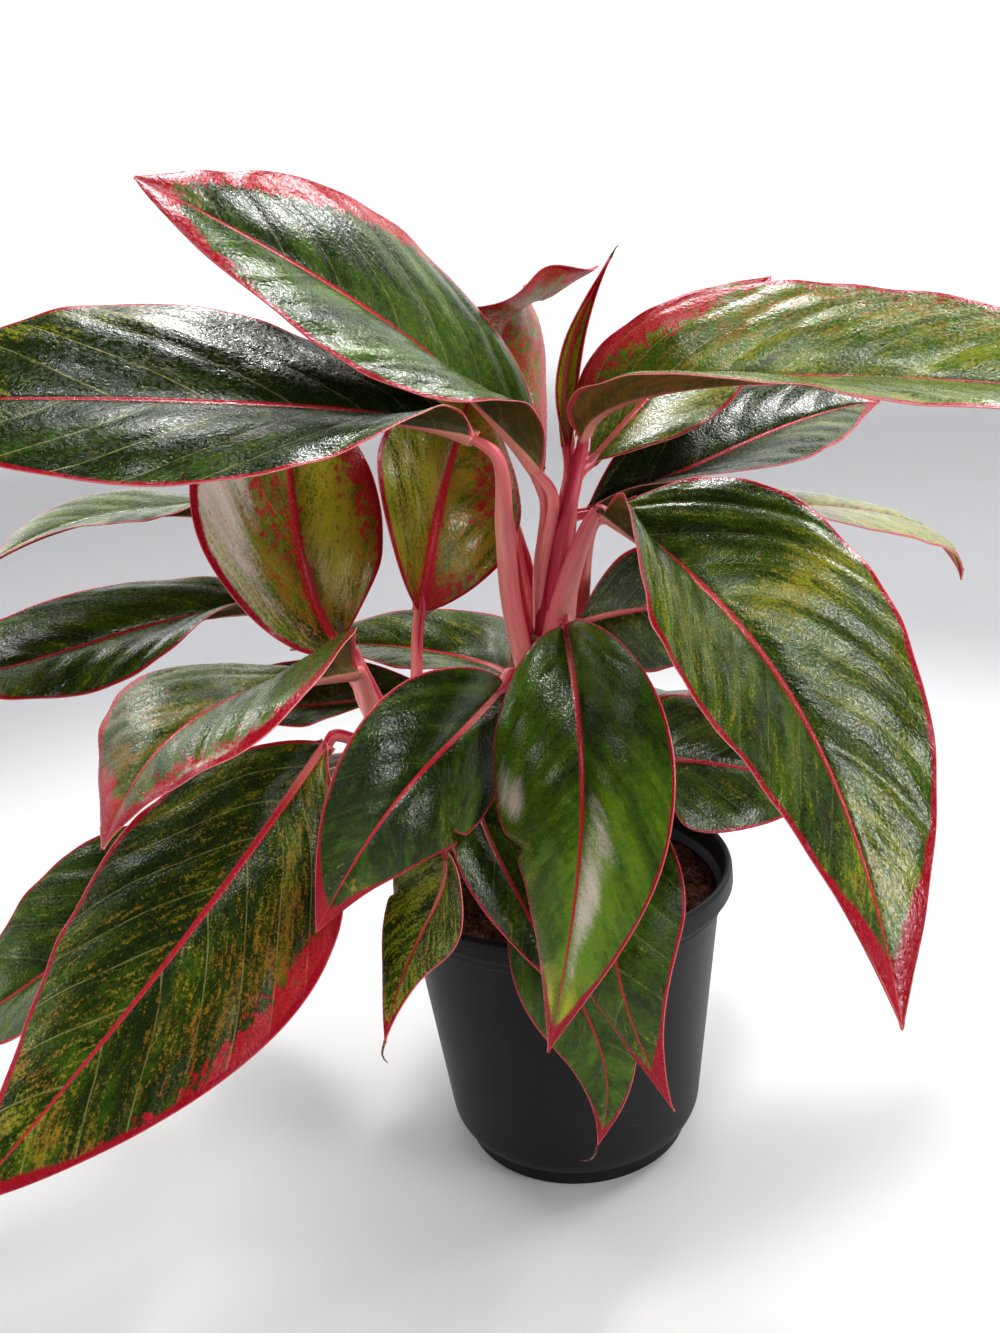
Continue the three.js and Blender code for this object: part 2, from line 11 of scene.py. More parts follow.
import bpy
import numpy as np
from mathutils import Matrix, Vector, noise


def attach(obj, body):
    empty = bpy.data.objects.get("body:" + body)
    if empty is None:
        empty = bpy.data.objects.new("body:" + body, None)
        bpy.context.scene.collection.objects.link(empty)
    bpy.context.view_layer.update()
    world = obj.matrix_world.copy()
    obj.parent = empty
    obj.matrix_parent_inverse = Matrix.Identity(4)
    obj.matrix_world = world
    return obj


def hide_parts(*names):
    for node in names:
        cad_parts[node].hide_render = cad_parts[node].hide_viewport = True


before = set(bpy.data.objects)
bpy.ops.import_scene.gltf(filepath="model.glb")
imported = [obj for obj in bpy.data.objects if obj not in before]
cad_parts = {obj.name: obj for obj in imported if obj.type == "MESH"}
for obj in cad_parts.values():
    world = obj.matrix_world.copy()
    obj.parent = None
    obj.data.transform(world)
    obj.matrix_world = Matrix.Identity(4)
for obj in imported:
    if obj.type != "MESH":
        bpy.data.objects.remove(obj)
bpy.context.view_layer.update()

MM = 0.001

# ---------------------------------------------------------------- camera
# The photographer stands close in front of the plant, a little to its left, and looks down on it
# with a wide lens. The camera is tilted slightly, so the pot leans in the picture, and the picture's
# contrast is a step harder than plain.

CAMERA_PLACE = (-17.5, -418, 322)
LOOKS_DOWN = 17.2
TILT = -4.45
FOCAL_PIXELS = 1200
PICTURE_HEIGHT = 1333
SENSOR = 36

camera = bpy.data.objects.new("camera", bpy.data.cameras.new("camera"))
camera.data.sensor_width = SENSOR
camera.data.lens = SENSOR * FOCAL_PIXELS / PICTURE_HEIGHT
camera.data.clip_start = 0.01
camera.matrix_world = (
    Matrix.Translation(Vector(CAMERA_PLACE) * MM)
    @ Matrix.Rotation(math.radians(90 - LOOKS_DOWN), 4, "X")
    @ Matrix.Rotation(math.radians(TILT), 4, "Z")
)
bpy.context.scene.collection.objects.link(camera)
bpy.context.scene.camera = camera
bpy.context.scene.view_settings.view_transform = "Standard"
bpy.context.scene.view_settings.look = "Medium High Contrast"

# ---------------------------------------------------------------- pot
# A thin injection-moulded nursery pot of black polypropylene: a rolled lip, a collar under it, a
# tapered wall, a rounded foot, and a raised base with six drain holes. The foot ring stands on the floor.

POT_HEIGHT = 114
LIP_RADIUS = 65
LIP_DEPTH = 9
LIP_WALL = 3
COLLAR_RADIUS = 62.2
COLLAR_DEPTH = 5
WALL_TOP_RADIUS = 60.5
WALL_FOOT_RADIUS = 49.5
WALL_FOOT_HEIGHT = 10
WALL_THICKNESS = 1.6
FOOT_RADIUS = 45
FOOT_RING_WIDTH = 6
BASE_THICKNESS = 2
BASE_GROOVE_DEPTH = 3
CENTRE_PAD_RADIUS = 12
DRAIN_HOLE_RADIUS = 4.5
DRAIN_HOLE_CIRCLE = 27
DRAIN_HOLES = 6
FILL_LINE = 102
POT_SIDES = 144
SHARP_ANGLE = 50


def mesh_piece(name, corners, faces, material, smooth=True):
    """A mesh object from corners in millimetres."""
    mesh = bpy.data.meshes.new(name)
    mesh.from_pydata((np.asarray(corners, float) * MM).tolist(), [], faces)
    mesh.materials.append(material)
    mesh.polygons.foreach_set("use_smooth", [smooth] * len(mesh.polygons))
    mesh.update()
    made = bpy.data.objects.new(name, mesh)
    bpy.context.scene.collection.objects.link(made)
    return made


def rounded(profile, steps=5):
    """[radius, height, fillet] corners, with each fillet as an arc."""
    points = []
    for i, (radius, height, fillet) in enumerate(profile):
        corner = np.array([radius, height], float)
        if fillet == 0:
            points.append(corner)
            continue
        before = np.array(profile[i - 1][:2], float) - corner
        after = np.array(profile[i + 1][:2], float) - corner
        reach = min(fillet, 0.45 * np.linalg.norm(before), 0.45 * np.linalg.norm(after))
        start = corner + before / np.linalg.norm(before) * reach
        end = corner + after / np.linalg.norm(after) * reach
        for k in range(steps + 1):
            t = k / steps
            points.append((1 - t) ** 2 * start + 2 * t * (1 - t) * corner + t**2 * end)
    return points


def ring(radius, height, sides):
    angles = [2 * math.pi * k / sides for k in range(sides)]
    return [(radius * math.cos(angle), radius * math.sin(angle), height) for angle in angles]


def band_faces(first, rings, sides, inside_out=False):
    """Four-sided faces between rings of corners. The rings follow on from corner number first."""
    faces = []
    for i in range(rings - 1):
        for k in range(sides):
            a, b = first + i * sides + k, first + i * sides + (k + 1) % sides
            faces.append((a, a + sides, b + sides, b) if inside_out else (a, b, b + sides, a + sides))
    return faces


def round_solid_faces(rings, sides):
    """Faces of a closed round solid: a corner on its axis, its rings, and a last corner on the axis."""
    last_ring = 1 + (rings - 1) * sides
    faces = band_faces(1, rings, sides)
    for k in range(sides):
        after = (k + 1) % sides
        faces.append((0, 1 + after, 1 + k))
        faces.append((last_ring + k, last_ring + after, last_ring + sides))
    return faces


def turned(profile, sides):
    """Corners and faces of a turned solid. The profile starts and ends on the axis."""
    corners = [(0, 0, profile[0][1])]
    for radius, height in profile[1:-1]:
        corners += ring(radius, height, sides)
    corners.append((0, 0, profile[-1][1]))
    return corners, round_solid_faces(len(profile) - 2, sides)


def add(tree, kind, inputs=None, **settings):
    """A shader node. An input is a number, a colour or another node's output."""
    made = tree.nodes.new(kind)
    for name, value in settings.items():
        setattr(made, name, value)
    for name, value in (inputs or {}).items():
        if isinstance(value, bpy.types.NodeSocket):
            tree.links.new(value, made.inputs[name])
        else:
            made.inputs[name].default_value = value
    return made


def maths(tree, operation, first, second=0.0, third=0.0):
    return add(tree, "ShaderNodeMath", {0: first, 1: second, 2: third}, operation=operation).outputs[0]


def weighted(tree, base, *parts):
    """The base plus each part, which is (value, weight)."""
    for value, weight in parts:
        base = maths(tree, "MULTIPLY_ADD", value, weight, base)
    return base


def smooth_step(tree, value, low, high):
    """0 below low and 1 above high. With low above high it falls instead."""
    inputs = {"Value": value, "From Min": low, "From Max": high}
    return add(tree, "ShaderNodeMapRange", inputs, interpolation_type="SMOOTHSTEP").outputs[0]


def colour_mix(tree, factor, first, second):
    """From the first colour to the second. A colour is red, green and blue, or a node's output."""
    inputs = {0: factor}
    for socket, colour in ((6, first), (7, second)):
        inputs[socket] = colour if isinstance(colour, bpy.types.NodeSocket) else (*colour, 1)
    return add(tree, "ShaderNodeMix", inputs, data_type="RGBA").outputs[2]


def surface_point(tree):
    """Where the surface is, in metres."""
    return add(tree, "ShaderNodeNewGeometry").outputs["Position"]


def separated(tree, vector):
    return add(tree, "ShaderNodeSeparateXYZ", {"Vector": vector}).outputs


def speckle(tree, place, scale, detail=3.0, roughness=0.55):
    """Noise about 0.5."""
    inputs = {"Vector": place, "Scale": scale, "Detail": detail, "Roughness": roughness}
    return add(tree, "ShaderNodeTexNoise", inputs).outputs["Fac"]


def stretched(tree, place, scale):
    return add(tree, "ShaderNodeMapping", {"Vector": place, "Scale": scale}).outputs[0]


def new_finish(name, roughness=0.5, specular=0.5):
    """A material with its tree and its one Principled shader."""
    material = bpy.data.materials.new(name)
    material.use_nodes = True
    shader = material.node_tree.nodes["Principled BSDF"]
    shader.inputs["Roughness"].default_value = roughness
    shader.inputs["Specular IOR Level"].default_value = specular
    return material, material.node_tree, shader


def bump(tree, height, strength, distance, below=None):
    inputs = {"Height": height, "Strength": strength, "Distance": distance}
    if below is not None:
        inputs["Normal"] = below
    return add(tree, "ShaderNodeBump", inputs).outputs[0]


def inner_wall(height):
    """The inner radius of the tapered wall."""
    share = (height - WALL_FOOT_HEIGHT) / (POT_HEIGHT - LIP_DEPTH - WALL_FOOT_HEIGHT)
    return WALL_FOOT_RADIUS + (WALL_TOP_RADIUS - WALL_FOOT_RADIUS) * share - WALL_THICKNESS


plastic, tree, shader = new_finish("black_plastic", specular=0.28)
place = surface_point(tree)
cloud = speckle(tree, place, 22.0, 4.0)
shade = colour_mix(tree, cloud, (0.009, 0.009, 0.010), (0.017, 0.017, 0.019))
# Scuffs run round the pot, and a little pale dust lies on it.
scuffs = smooth_step(tree, speckle(tree, stretched(tree, place, (90, 90, 700)), 1.0, 5.0, 0.75), 0.6, 0.7)
worn = smooth_step(tree, speckle(tree, place, 17.0, 2.0), 0.45, 0.65)
scuffs = maths(tree, "MULTIPLY", scuffs, worn)
dust = smooth_step(tree, speckle(tree, place, 900.0, 1.0), 0.73, 0.8)
shade = colour_mix(tree, maths(tree, "MULTIPLY", scuffs, 0.45), shade, (0.16, 0.16, 0.16))
shade = colour_mix(tree, maths(tree, "MULTIPLY", dust, 0.25), shade, (0.22, 0.21, 0.2))
tree.links.new(shade, shader.inputs["Base Color"])
tree.links.new(weighted(tree, 0.36, (cloud, 0.2), (scuffs, 0.25)), shader.inputs["Roughness"])
# The mould leaves a fine grain, and faint rings where the tool was turned.
grain = speckle(tree, place, 2600.0, 2.0)
rings = speckle(tree, stretched(tree, place, (2, 2, 700)), 1.0, 2.0)
tool_marks = bump(tree, rings, 0.3, 0.0003)
tree.links.new(bump(tree, grain, 0.35, 0.00012, tool_marks), shader.inputs["Normal"])

lip_underside = POT_HEIGHT - LIP_DEPTH
collar_underside = lip_underside - COLLAR_DEPTH
base_floor = BASE_GROOVE_DEPTH + BASE_THICKNESS
groove = FOOT_RADIUS - FOOT_RING_WIDTH
pot_profile = rounded([
    (0, 0, 0),
    (CENTRE_PAD_RADIUS, 0, 0.4),
    (CENTRE_PAD_RADIUS + 1, BASE_GROOVE_DEPTH, 0.6),
    (groove - 1, BASE_GROOVE_DEPTH, 0.6),
    (groove, 0, 0.4),
    (FOOT_RADIUS - 0.8, 0, 0.8),
    (FOOT_RADIUS - 1, 7.5, 0.6),
    (FOOT_RADIUS + 2.6, 7.8, 1.2),
    (WALL_FOOT_RADIUS + 0.1, WALL_FOOT_HEIGHT + 2, 5),
    (inner_wall(collar_underside) + WALL_THICKNESS, collar_underside, 0.3),
    (COLLAR_RADIUS, collar_underside + 1, 0.8),
    (COLLAR_RADIUS, lip_underside, 0.3),
    (LIP_RADIUS - 0.8, lip_underside, 0.4),
    (LIP_RADIUS, lip_underside + 1, 0.8),
    (LIP_RADIUS - 0.3, POT_HEIGHT - 1.5, 1.2),
    (LIP_RADIUS - 1.5, POT_HEIGHT, 1),
    (LIP_RADIUS - LIP_WALL + 0.5, POT_HEIGHT - 0.6, 1),
    (LIP_RADIUS - LIP_WALL, POT_HEIGHT - 2, 1.5),
    (LIP_RADIUS - LIP_WALL - 1, lip_underside, 0.6),
    (inner_wall(FILL_LINE), FILL_LINE, 0.8),
    (inner_wall(base_floor + 6), base_floor + 6, 2),
    (FOOT_RADIUS - 2, base_floor, 2),
    (0, base_floor, 0),
])
pot = mesh_piece("nursery_pot", *turned(pot_profile, POT_SIDES), plastic)

# The drain holes are punched through the base.
hole_corners, hole_faces = [], []
for i in range(DRAIN_HOLES):
    angle = 2 * math.pi * (i + 0.5) / DRAIN_HOLES
    drill = [(0, -1), (DRAIN_HOLE_RADIUS, -1), (DRAIN_HOLE_RADIUS, base_floor + 1), (0, base_floor + 1)]
    corners, faces = turned(drill, 32)
    offset = np.array([DRAIN_HOLE_CIRCLE * math.cos(angle), DRAIN_HOLE_CIRCLE * math.sin(angle), 0])
    hole_faces += [tuple(len(hole_corners) + k for k in face) for face in faces]
    hole_corners += (np.array(corners) + offset).tolist()
drills = mesh_piece("drills", hole_corners, hole_faces, plastic, smooth=False)


def apply_modifiers(target):
    """The evaluated mesh takes the place of the object's own, so that no modifier is left."""
    graph = bpy.context.evaluated_depsgraph_get()
    final = bpy.data.meshes.new_from_object(target.evaluated_get(graph))
    target.modifiers.clear()
    target.data = final


cut = pot.modifiers.new("drain_holes", "BOOLEAN")
cut.object = drills
cut.solver = "EXACT"
apply_modifiers(pot)
bpy.data.objects.remove(drills)
pot.data.set_sharp_from_angle(angle=math.radians(SHARP_ANGLE))
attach(pot, "root")
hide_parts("pot")

# ---------------------------------------------------------------- soil
# Loose coco peat, dark brown and damp, filled to 12 mm under the lip. Crumbs and shreds of husk lie
# on it, and pale fibres and old root ends stick out of it.

SOIL_LEVEL = FILL_LINE
FIT_GAP = 0.3
SOIL_RINGS = 62
SOIL_SIDES = 190
CRUMBS = 1500
FIBRES = 420
FIBRE_STEPS = 7
random = np.random.default_rng(11)


def soil_height(x, y):
    """The lumpy surface of the peat."""
    place = Vector((x, y, 0))
    lumps = 2.6 * noise.fractal(place * 0.045, 1.0, 2.0, 2)
    crumble = 1.5 * noise.fractal(place * 0.22 + Vector((9, 0, 0)), 0.8, 2.0, 4)
    edge = min(1, (inner_wall(SOIL_LEVEL) - math.hypot(x, y)) / 8)
    return SOIL_LEVEL - 0.5 + (lumps + crumble) * (0.35 + 0.65 * edge)


peat, tree, shader = new_finish("coco_peat", roughness=0.95, specular=0.25)
place = surface_point(tree)
lump = speckle(tree, place, 260.0, 5.0, 0.7)
fine = speckle(tree, place, 1300.0, 3.0, 0.6)
clods = smooth_step(tree, lump, 0.35, 0.68)
shade = colour_mix(tree, clods, (0.025, 0.011, 0.006), (0.20, 0.085, 0.045))
shade = colour_mix(tree, smooth_step(tree, fine, 0.56, 0.74), shade, (0.46, 0.25, 0.14))
tree.links.new(shade, shader.inputs["Base Color"])
tree.links.new(bump(tree, maths(tree, "ADD", lump, fine), 0.9, 0.0012), shader.inputs["Normal"])

soil_wall = inner_wall(SOIL_LEVEL) - FIT_GAP - 0.1
base_gap = base_floor + FIT_GAP
corners = [(0, 0, base_gap)]
foot_rings = [(FOOT_RADIUS - 2.4, base_gap), (inner_wall(base_gap + 6) - 0.4, base_gap + 6)]
for radius, height in foot_rings:
    corners += ring(radius, height, SOIL_SIDES)
for i in range(SOIL_RINGS):
    radius = soil_wall * (1 - i / SOIL_RINGS)
    corners += [(x, y, soil_height(x, y)) for x, y, _ in ring(radius, 0, SOIL_SIDES)]
corners.append((0, 0, soil_height(0, 0)))
soil = mesh_piece("peat", corners, round_solid_faces(len(foot_rings) + SOIL_RINGS, SOIL_SIDES), peat)
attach(soil, "root")
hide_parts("soil")

# Crumbs: small irregular lumps, half sunk in the surface.
crumb_shape = np.array([(1, 0, 0), (-1, 0, 0), (0, 1, 0), (0, -1, 0), (0, 0, 1), (0, 0, -1)], float)
crumb_faces = [(0, 2, 4), (2, 1, 4), (1, 3, 4), (3, 0, 4), (2, 0, 5), (1, 2, 5), (3, 1, 5), (0, 3, 5)]
corners, faces = [], []
for _ in range(CRUMBS):
    radius = (soil_wall - 1.5) * math.sqrt(random.random())
    angle = 2 * math.pi * random.random()
    x, y = radius * math.cos(angle), radius * math.sin(angle)
    size = 0.35 + 1.1 * random.random() ** 3
    lump = crumb_shape * size * (0.6 + 0.8 * random.random((6, 1))) * [1, 1, 0.7]
    turn = np.array(Matrix.Rotation(2 * math.pi * random.random(), 3, "Z"))
    faces += [tuple(len(corners) + k for k in face) for face in crumb_faces]
    corners += (lump @ turn + [x, y, soil_height(x, y) + 0.25 * size]).tolist()
crumbs = mesh_piece("peat_crumbs", corners, faces, peat, smooth=False)
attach(crumbs, "root")

# Fibres: three-sided threads of husk and dry root, lying on the peat with their ends in it.
husk, tree, shader = new_finish("husk_fibre", roughness=0.8)
place = surface_point(tree)
tone = speckle(tree, place, 60.0, 2.0)
shade = colour_mix(tree, smooth_step(tree, tone, 0.4, 0.62), (0.16, 0.07, 0.03), (0.62, 0.40, 0.24))
tree.links.new(shade, shader.inputs["Base Color"])
corners, faces = [], []
for _ in range(FIBRES):
    radius = (soil_wall - 4) * math.sqrt(random.random())
    angle = 2 * math.pi * random.random()
    centre = np.array([radius * math.cos(angle), radius * math.sin(angle)])
    heading = 2 * math.pi * random.random()
    length = 3 + 11 * random.random() ** 1.6
    curl = random.normal(0, 0.9)
    thick = 0.11 + 0.13 * random.random() ** 2
    rise = 0.4 + 1.6 * random.random() ** 2
    first = len(corners)
    for i in range(FIBRE_STEPS + 1):
        share = i / FIBRE_STEPS
        way = heading + curl * (share - 0.5)
        x, y = centre + length * (share - 0.5) * np.array([math.cos(way), math.sin(way)])
        out = math.hypot(x, y)
        if out > soil_wall - 1:
            x, y = x * (soil_wall - 1) / out, y * (soil_wall - 1) / out
        z = soil_height(x, y) + rise * math.sin(math.pi * share) - 0.25 + 0.3 * math.sin(9 * share + curl)
        for k in range(3):
            turn = 2 * math.pi * k / 3
            side = thick * math.cos(turn)
            corners.append((x - side * math.sin(way), y + side * math.cos(way), z + thick * math.sin(turn)))
    last = first + 3 * FIBRE_STEPS
    faces += band_faces(first, FIBRE_STEPS + 1, 3)
    faces.append((first + 2, first + 1, first))
    faces.append((last, last + 1, last + 2))
fibres = mesh_piece("husk_fibres", corners, faces, husk)
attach(fibres, "root")

# ---------------------------------------------------------------- growth plan
# Every leaf of the plant, in the model's own numbers: which cane it grows on, its midrib from root
# to tip, how its blade is cupped, rolled and twisted, and the way its petiole takes.

PLAIN_LEAF = dict(
    # Turns of the blade about its midrib, and how far its halves are raised, in degrees.
    roll=0, root_twist=0, tip_twist=0, cup=40, fold=10,
    # How far the halves bow down, by how much one is the wider, and where the blade is widest.
    arch=0.25, skew=0, widest=0.4,
    # The margin's waves: their height and number, and nicks as (side, share along, depth, spread).
    ripple=1, waves=1.5, nicks=(),
    # The petiole: its radius, what share of that it has here, and its straight run before the blade.
    girth=4, slim=1, ease=9,
    # How far up its sheath goes, to which side it opens, in radians, and how red the petiole is.
    sheath=0.6, open_way=0, blush=0.2,
    # Widths of the red margin, its widening at the tip and the red midrib, and how clear the veins are.
    margin=1.1, tip=3.5, rib=1.0, veins=0.3,
    # The colouring all over, and patches as (what, share along, share across, length, breadth, how much).
    red=0.12, yellow=0.3, dark=0.0, pale=0.0, patches=(),
)
LEAVES = []


def leaf(name, cane, width, heading, midrib, stalk, **rest):
    """One leaf: the blade's width and heading, its midrib from root to tip, where its petiole passes,
    and what is not as on a plain leaf. A patch is of red, yellow, dark, pale or pink. Some dark patches
    are painted shade, a pale one is a painted reflection, and pink is partly the leaf's own and partly
    painted glare."""
    plan = dict(PLAIN_LEAF, name=name, cane=cane, width=width, heading=heading, **rest)
    plan["midrib"] = np.array(midrib, float)
    plan["stalk"] = np.array(stalk, float)
    plan["number"] = len(LEAVES)
    LEAVES.append(plan)


leaf("spear", "main", 16, 90,
     [(12, 2, 270), (12, -1, 291), (17, -2, 309), (30, -1, 332)], [(0, -4, 200), (7, 1, 238)], cup=10,
     fold=60, arch=0, widest=0.35, ripple=0, margin=1.6, red=0.2, yellow=1.0, dark=0.1)
leaf("top_left", "main", 78, 190,
     [(1, -8, 263), (-29, -20, 302), (-66, -52, 334), (-105, -71, 359)], [(-2, -4, 186), (0, -9, 228)],
     roll=-42, root_twist=50, cup=55, fold=18, skew=-0.05, widest=0.45, girth=2.8, margin=1.5,
     veins=0.35, red=0.1, yellow=0.2,
     patches=[("red", 0.8, -0.97, 0.25, 0.2, 1.3), ("red", 0.78, -0.7, 0.22, 0.35, 0.5),
              ("red", 0.97, 0.2, 0.07, 0.9, 1.1), ("red", 0.88, 0.9, 0.12, 0.3, 0.7),
              ("red", 0.6, -0.95, 0.2, 0.25, 0.7), ("dark", 0.65, -0.45, 0.2, 0.3, 0.7)])
# Painted shade: the dark amount and dark patch darken this leaf where its wax catches no light.
leaf("left_long", "main", 78, 190,
     [(-20, -42, 280), (-56, -50, 292), (-114, -76, 302), (-172, -90, 307)],
     [(-4, -5, 176), (-11, -11, 220), (-12, -22, 246)], roll=-40, root_twist=60, fold=15, arch=0.2,
     widest=0.58, girth=5, open_way=0.8, veins=0.6, yellow=0.18, dark=0.5,
     patches=[("yellow", 0.7, -0.85, 0.2, 0.25, 0.5), ("dark", 0.6, -0.4, 0.3, 0.5, 0.5)])
# Its pink patch is partly the leaf's own pink and partly painted glare.
leaf("top_back", "main", 54, 90,
     [(2, 6, 258), (-7, 34, 303), (2, 31, 317), (30, 42, 329)], [(-1, 0, 182), (0, 3, 224)], roll=30,
     root_twist=25, tip_twist=135, cup=35, fold=0, arch=0.3, widest=0.45, girth=3.5, red=0.85,
     yellow=0.7, pale=0.7,
     patches=[("pink", 0.4, 0.5, 0.4, 0.6, 1.3)])
leaf("right_long", "main", 86, -10,
     [(16, -12, 275), (45, -33, 291), (113, -38, 288), (200, -48, 277)], [(-1, -6, 182), (4, -11, 229)],
     roll=27, root_twist=-17, cup=50, fold=28, arch=0.2, widest=0.57, girth=5, sheath=0.85,
     open_way=-1.1, blush=0.6, margin=2.0, veins=0.5, red=0.15, yellow=0.6, pale=0.5,
     patches=[("red", 0.2, 0.97, 0.16, 0.22, 1.5), ("red", 0.3, 0.7, 0.14, 0.4, 0.6),
              ("red", 0.12, 0.4, 0.1, 0.4, 0.5), ("red", 0.6, 0.8, 0.3, 0.3, 0.25)])
leaf("right_back_upper", "main", 54, 40,
     [(20, 5, 264), (49, 32, 286), (76, 55, 305), (101, 75, 321)], [(1, 2, 184), (9, 10, 226)], roll=40,
     root_twist=15, fold=15, widest=0.37, girth=3.5, red=0.1, yellow=0.6, pale=0.1)
# Painted shade: the dark amount and dark patch darken this leaf, which lies in the shade of leaves above.
leaf("right_back_middle", "main", 63, 30,
     [(19, 12, 245), (66, 33, 257), (106, 57, 266), (144, 73, 269)], [(2, 4, 168), (7, 14, 208)],
     roll=27, root_twist=-10, cup=45, fold=20, arch=0.2, widest=0.42, girth=3.5, yellow=0.2, dark=0.4,
     patches=[("dark", 0.35, 0.5, 0.4, 0.6, 0.6), ("yellow", 0.75, -0.5, 0.2, 0.5, 0.3)])
leaf("front_right_large", "main", 102, -45,
     [(22, -22, 250), (51, -47, 226), (76, -81, 186), (84, -138, 123)], [(1, -7, 176), (7, -14, 222)],
     roll=15, root_twist=-30, cup=35, fold=20, arch=0.15, skew=0.05, girth=6, ease=3, blush=0.3,
     margin=1.8, tip=5, rib=1.15, yellow=0.34,
     patches=[("yellow", 0.42, 0.5, 0.06, 0.6, 0.5), ("yellow", 0.62, 0.7, 0.12, 0.4, 0.25),
              ("yellow", 0.8, 0.2, 0.1, 0.5, 0.25), ("yellow", 0.4, -0.7, 0.25, 0.3, 0.3),
              ("dark", 0.15, 0.3, 0.12, 0.8, 0.4)])
leaf("right_back_lower", "main", 58, 20,
     [(28, 11, 242), (87, 37, 238), (149, 58, 224), (179, 71, 193)], [(3, 5, 158), (13, 17, 198)],
     roll=15, root_twist=-40, cup=50, fold=5, girth=3.5, yellow=0.8)
# Painted shade: the dark amount and dark patch darken this leaf, which lies in shade behind
# front_right_large.
leaf("right_inner", "main", 50, 30,
     [(12, 3, 206), (38, 22, 204), (66, 40, 196), (93, 58, 177)], [(3, 2, 152), (6, 1, 184)], roll=80,
     cup=35, fold=5, widest=0.37, girth=3.5, yellow=0.4, dark=0.3,
     patches=[("dark", 0.4, 0.5, 0.5, 0.6, 0.6)])
# Its pale patch is a painted reflection of the floor, and its pink patches are painted glare.
leaf("front_centre", "main", 66, -95,
     [(6, -22, 211), (5, -78, 190), (0, -104, 159), (-12, -106, 102)], [(2, -6, 152), (4, -13, 190)],
     roll=35, root_twist=-15, cup=60, fold=5, widest=0.38, nicks=[(-1, 0.62, 0.1, 0.03)], girth=4.5,
     margin=0.8, rib=0.9, veins=0.12, yellow=0.16, pale=0.5,
     patches=[("yellow", 0.93, -0.45, 0.06, 0.3, 0.8), ("yellow", 0.93, 0.45, 0.06, 0.3, 0.8),
              ("yellow", 0.65, -0.8, 0.25, 0.25, 0.4), ("pale", 0.75, 0.3, 0.25, 0.6, 0.9),
              ("pink", 0.7, 0.22, 0.24, 0.28, 1.35), ("pink", 0.42, -0.8, 0.12, 0.22, 1.4),
              ("dark", 0.3, 0.3, 0.2, 0.8, 0.8)])
leaf("front_left", "main", 56, -140,
     [(-17, -25, 193), (-36, -62, 187), (-55, -85, 175), (-79, -96, 143)],
     [(-4, -4, 140), (-10, -12, 170)], roll=-75, root_twist=-5, cup=35, widest=0.42,
     nicks=[(1, 0.5, 0.14, 0.02)], margin=0.75, tip=6, veins=0.12, yellow=0.1, dark=0.3,
     patches=[("yellow", 0.55, 0.8, 0.12, 0.4, 0.35)])
leaf("centre_back", "main", 56, 150,
     [(-15, 5, 188), (-35, 35, 188), (-68, 46, 192), (-100, 40, 194)], [(-4, 3, 136), (-10, 4, 166)],
     roll=-5, root_twist=-25, cup=25, fold=20, arch=0.2, yellow=0.4, dark=0.2)
leaf("back_upper", "main", 64, 135,
     [(-30, 32, 258), (-58, 60, 284), (-90, 90, 288), (-118, 116, 272)],
     [(-2, 2, 176), (-5, 13, 218), (-12, 22, 246)], fold=12, widest=0.42, girth=3.5)
leaf("back", "main", 66, 95,
     [(1, 18, 186), (1, 60, 182), (-3, 98, 160), (-9, 124, 124)], [(0, 5, 128), (0, 11, 160)], fold=12,
     widest=0.42, yellow=0.4)
leaf("back_right", "main", 64, 55,
     [(14, 14, 162), (46, 56, 157), (76, 94, 137), (94, 120, 102)], [(5, 5, 112), (10, 10, 136)],
     fold=12, widest=0.42, dark=0.2)
leaf("centre_upright", "left", 64, 80,
     [(-44, -5, 217), (-35, 2, 251), (-26, 22, 275), (-18, 33, 296)], [(-50, -14, 160), (-48, -9, 188)],
     roll=45, cup=45, skew=-0.08, widest=0.38, girth=3.2, slim=0.65, blush=0.1, margin=1.8, rib=2.1,
     red=0.15, yellow=0.85, pale=0.7,
     patches=[("red", 0.0, 0, 0.12, 0.8, 1.5), ("red", 0.5, -0.5, 0.35, 0.3, 0.8),
              ("red", 0.2, 0, 0.3, 0.12, 0.9), ("dark", 0.45, 0.55, 0.3, 0.3, 1.1),
              ("pink", 0.6, 0.25, 0.25, 0.15, 0.5)])
# Its large pink patch is painted glare over some pale pink of its own, where left_long keeps the lamp off.
leaf("left_upright", "left", 70, 95,
     [(-73, -15, 211), (-82, -15, 242), (-84, 2, 279), (-80, 15, 297)],
     [(-57, -16, 168), (-66, -15, 190)], roll=20, root_twist=15, skew=0.05, widest=0.43, girth=3.2,
     blush=0.1, margin=2.2, rib=1.5, red=0.2, yellow=0.65, pale=0.7,
     patches=[("pink", 0.6, 0.9, 0.5, 0.6, 1.65), ("red", 0.5, 0.3, 0.4, 0.3, 0.65),
              ("red", 0.75, -0.95, 0.35, 0.35, 0.85), ("red", 0.5, -0.45, 0.5, 0.4, 0.35),
              ("yellow", 0.5, -0.4, 0.4, 0.4, 0.4), ("red", 0.1, 0, 0.35, 0.1, 1.0),
              ("dark", 0.12, 0, 0.12, 1, 1.0)])
leaf("left_folded", "left", 84, -160,
     [(-66, -40, 207), (-94, -87, 217), (-114, -110, 209), (-126, -127, 190)],
     [(-56, -20, 164), (-62, -26, 186)], roll=-10, root_twist=60, cup=35, arch=0.2, skew=-0.05,
     widest=0.38, girth=4.2, slim=0.8, ease=3, margin=3.0, red=0.25, yellow=0.35,
     patches=[("red", 0.9, -0.6, 0.15, 0.6, 0.9), ("red", 0.75, 0.75, 0.25, 0.3, 0.45),
              ("pink", 0.75, 0.95, 0.35, 0.22, 1.3), ("pale", 0.5, 0.9, 0.5, 0.3, 0.6),
              ("yellow", 0.6, -0.3, 0.3, 0.5, 0.3)])
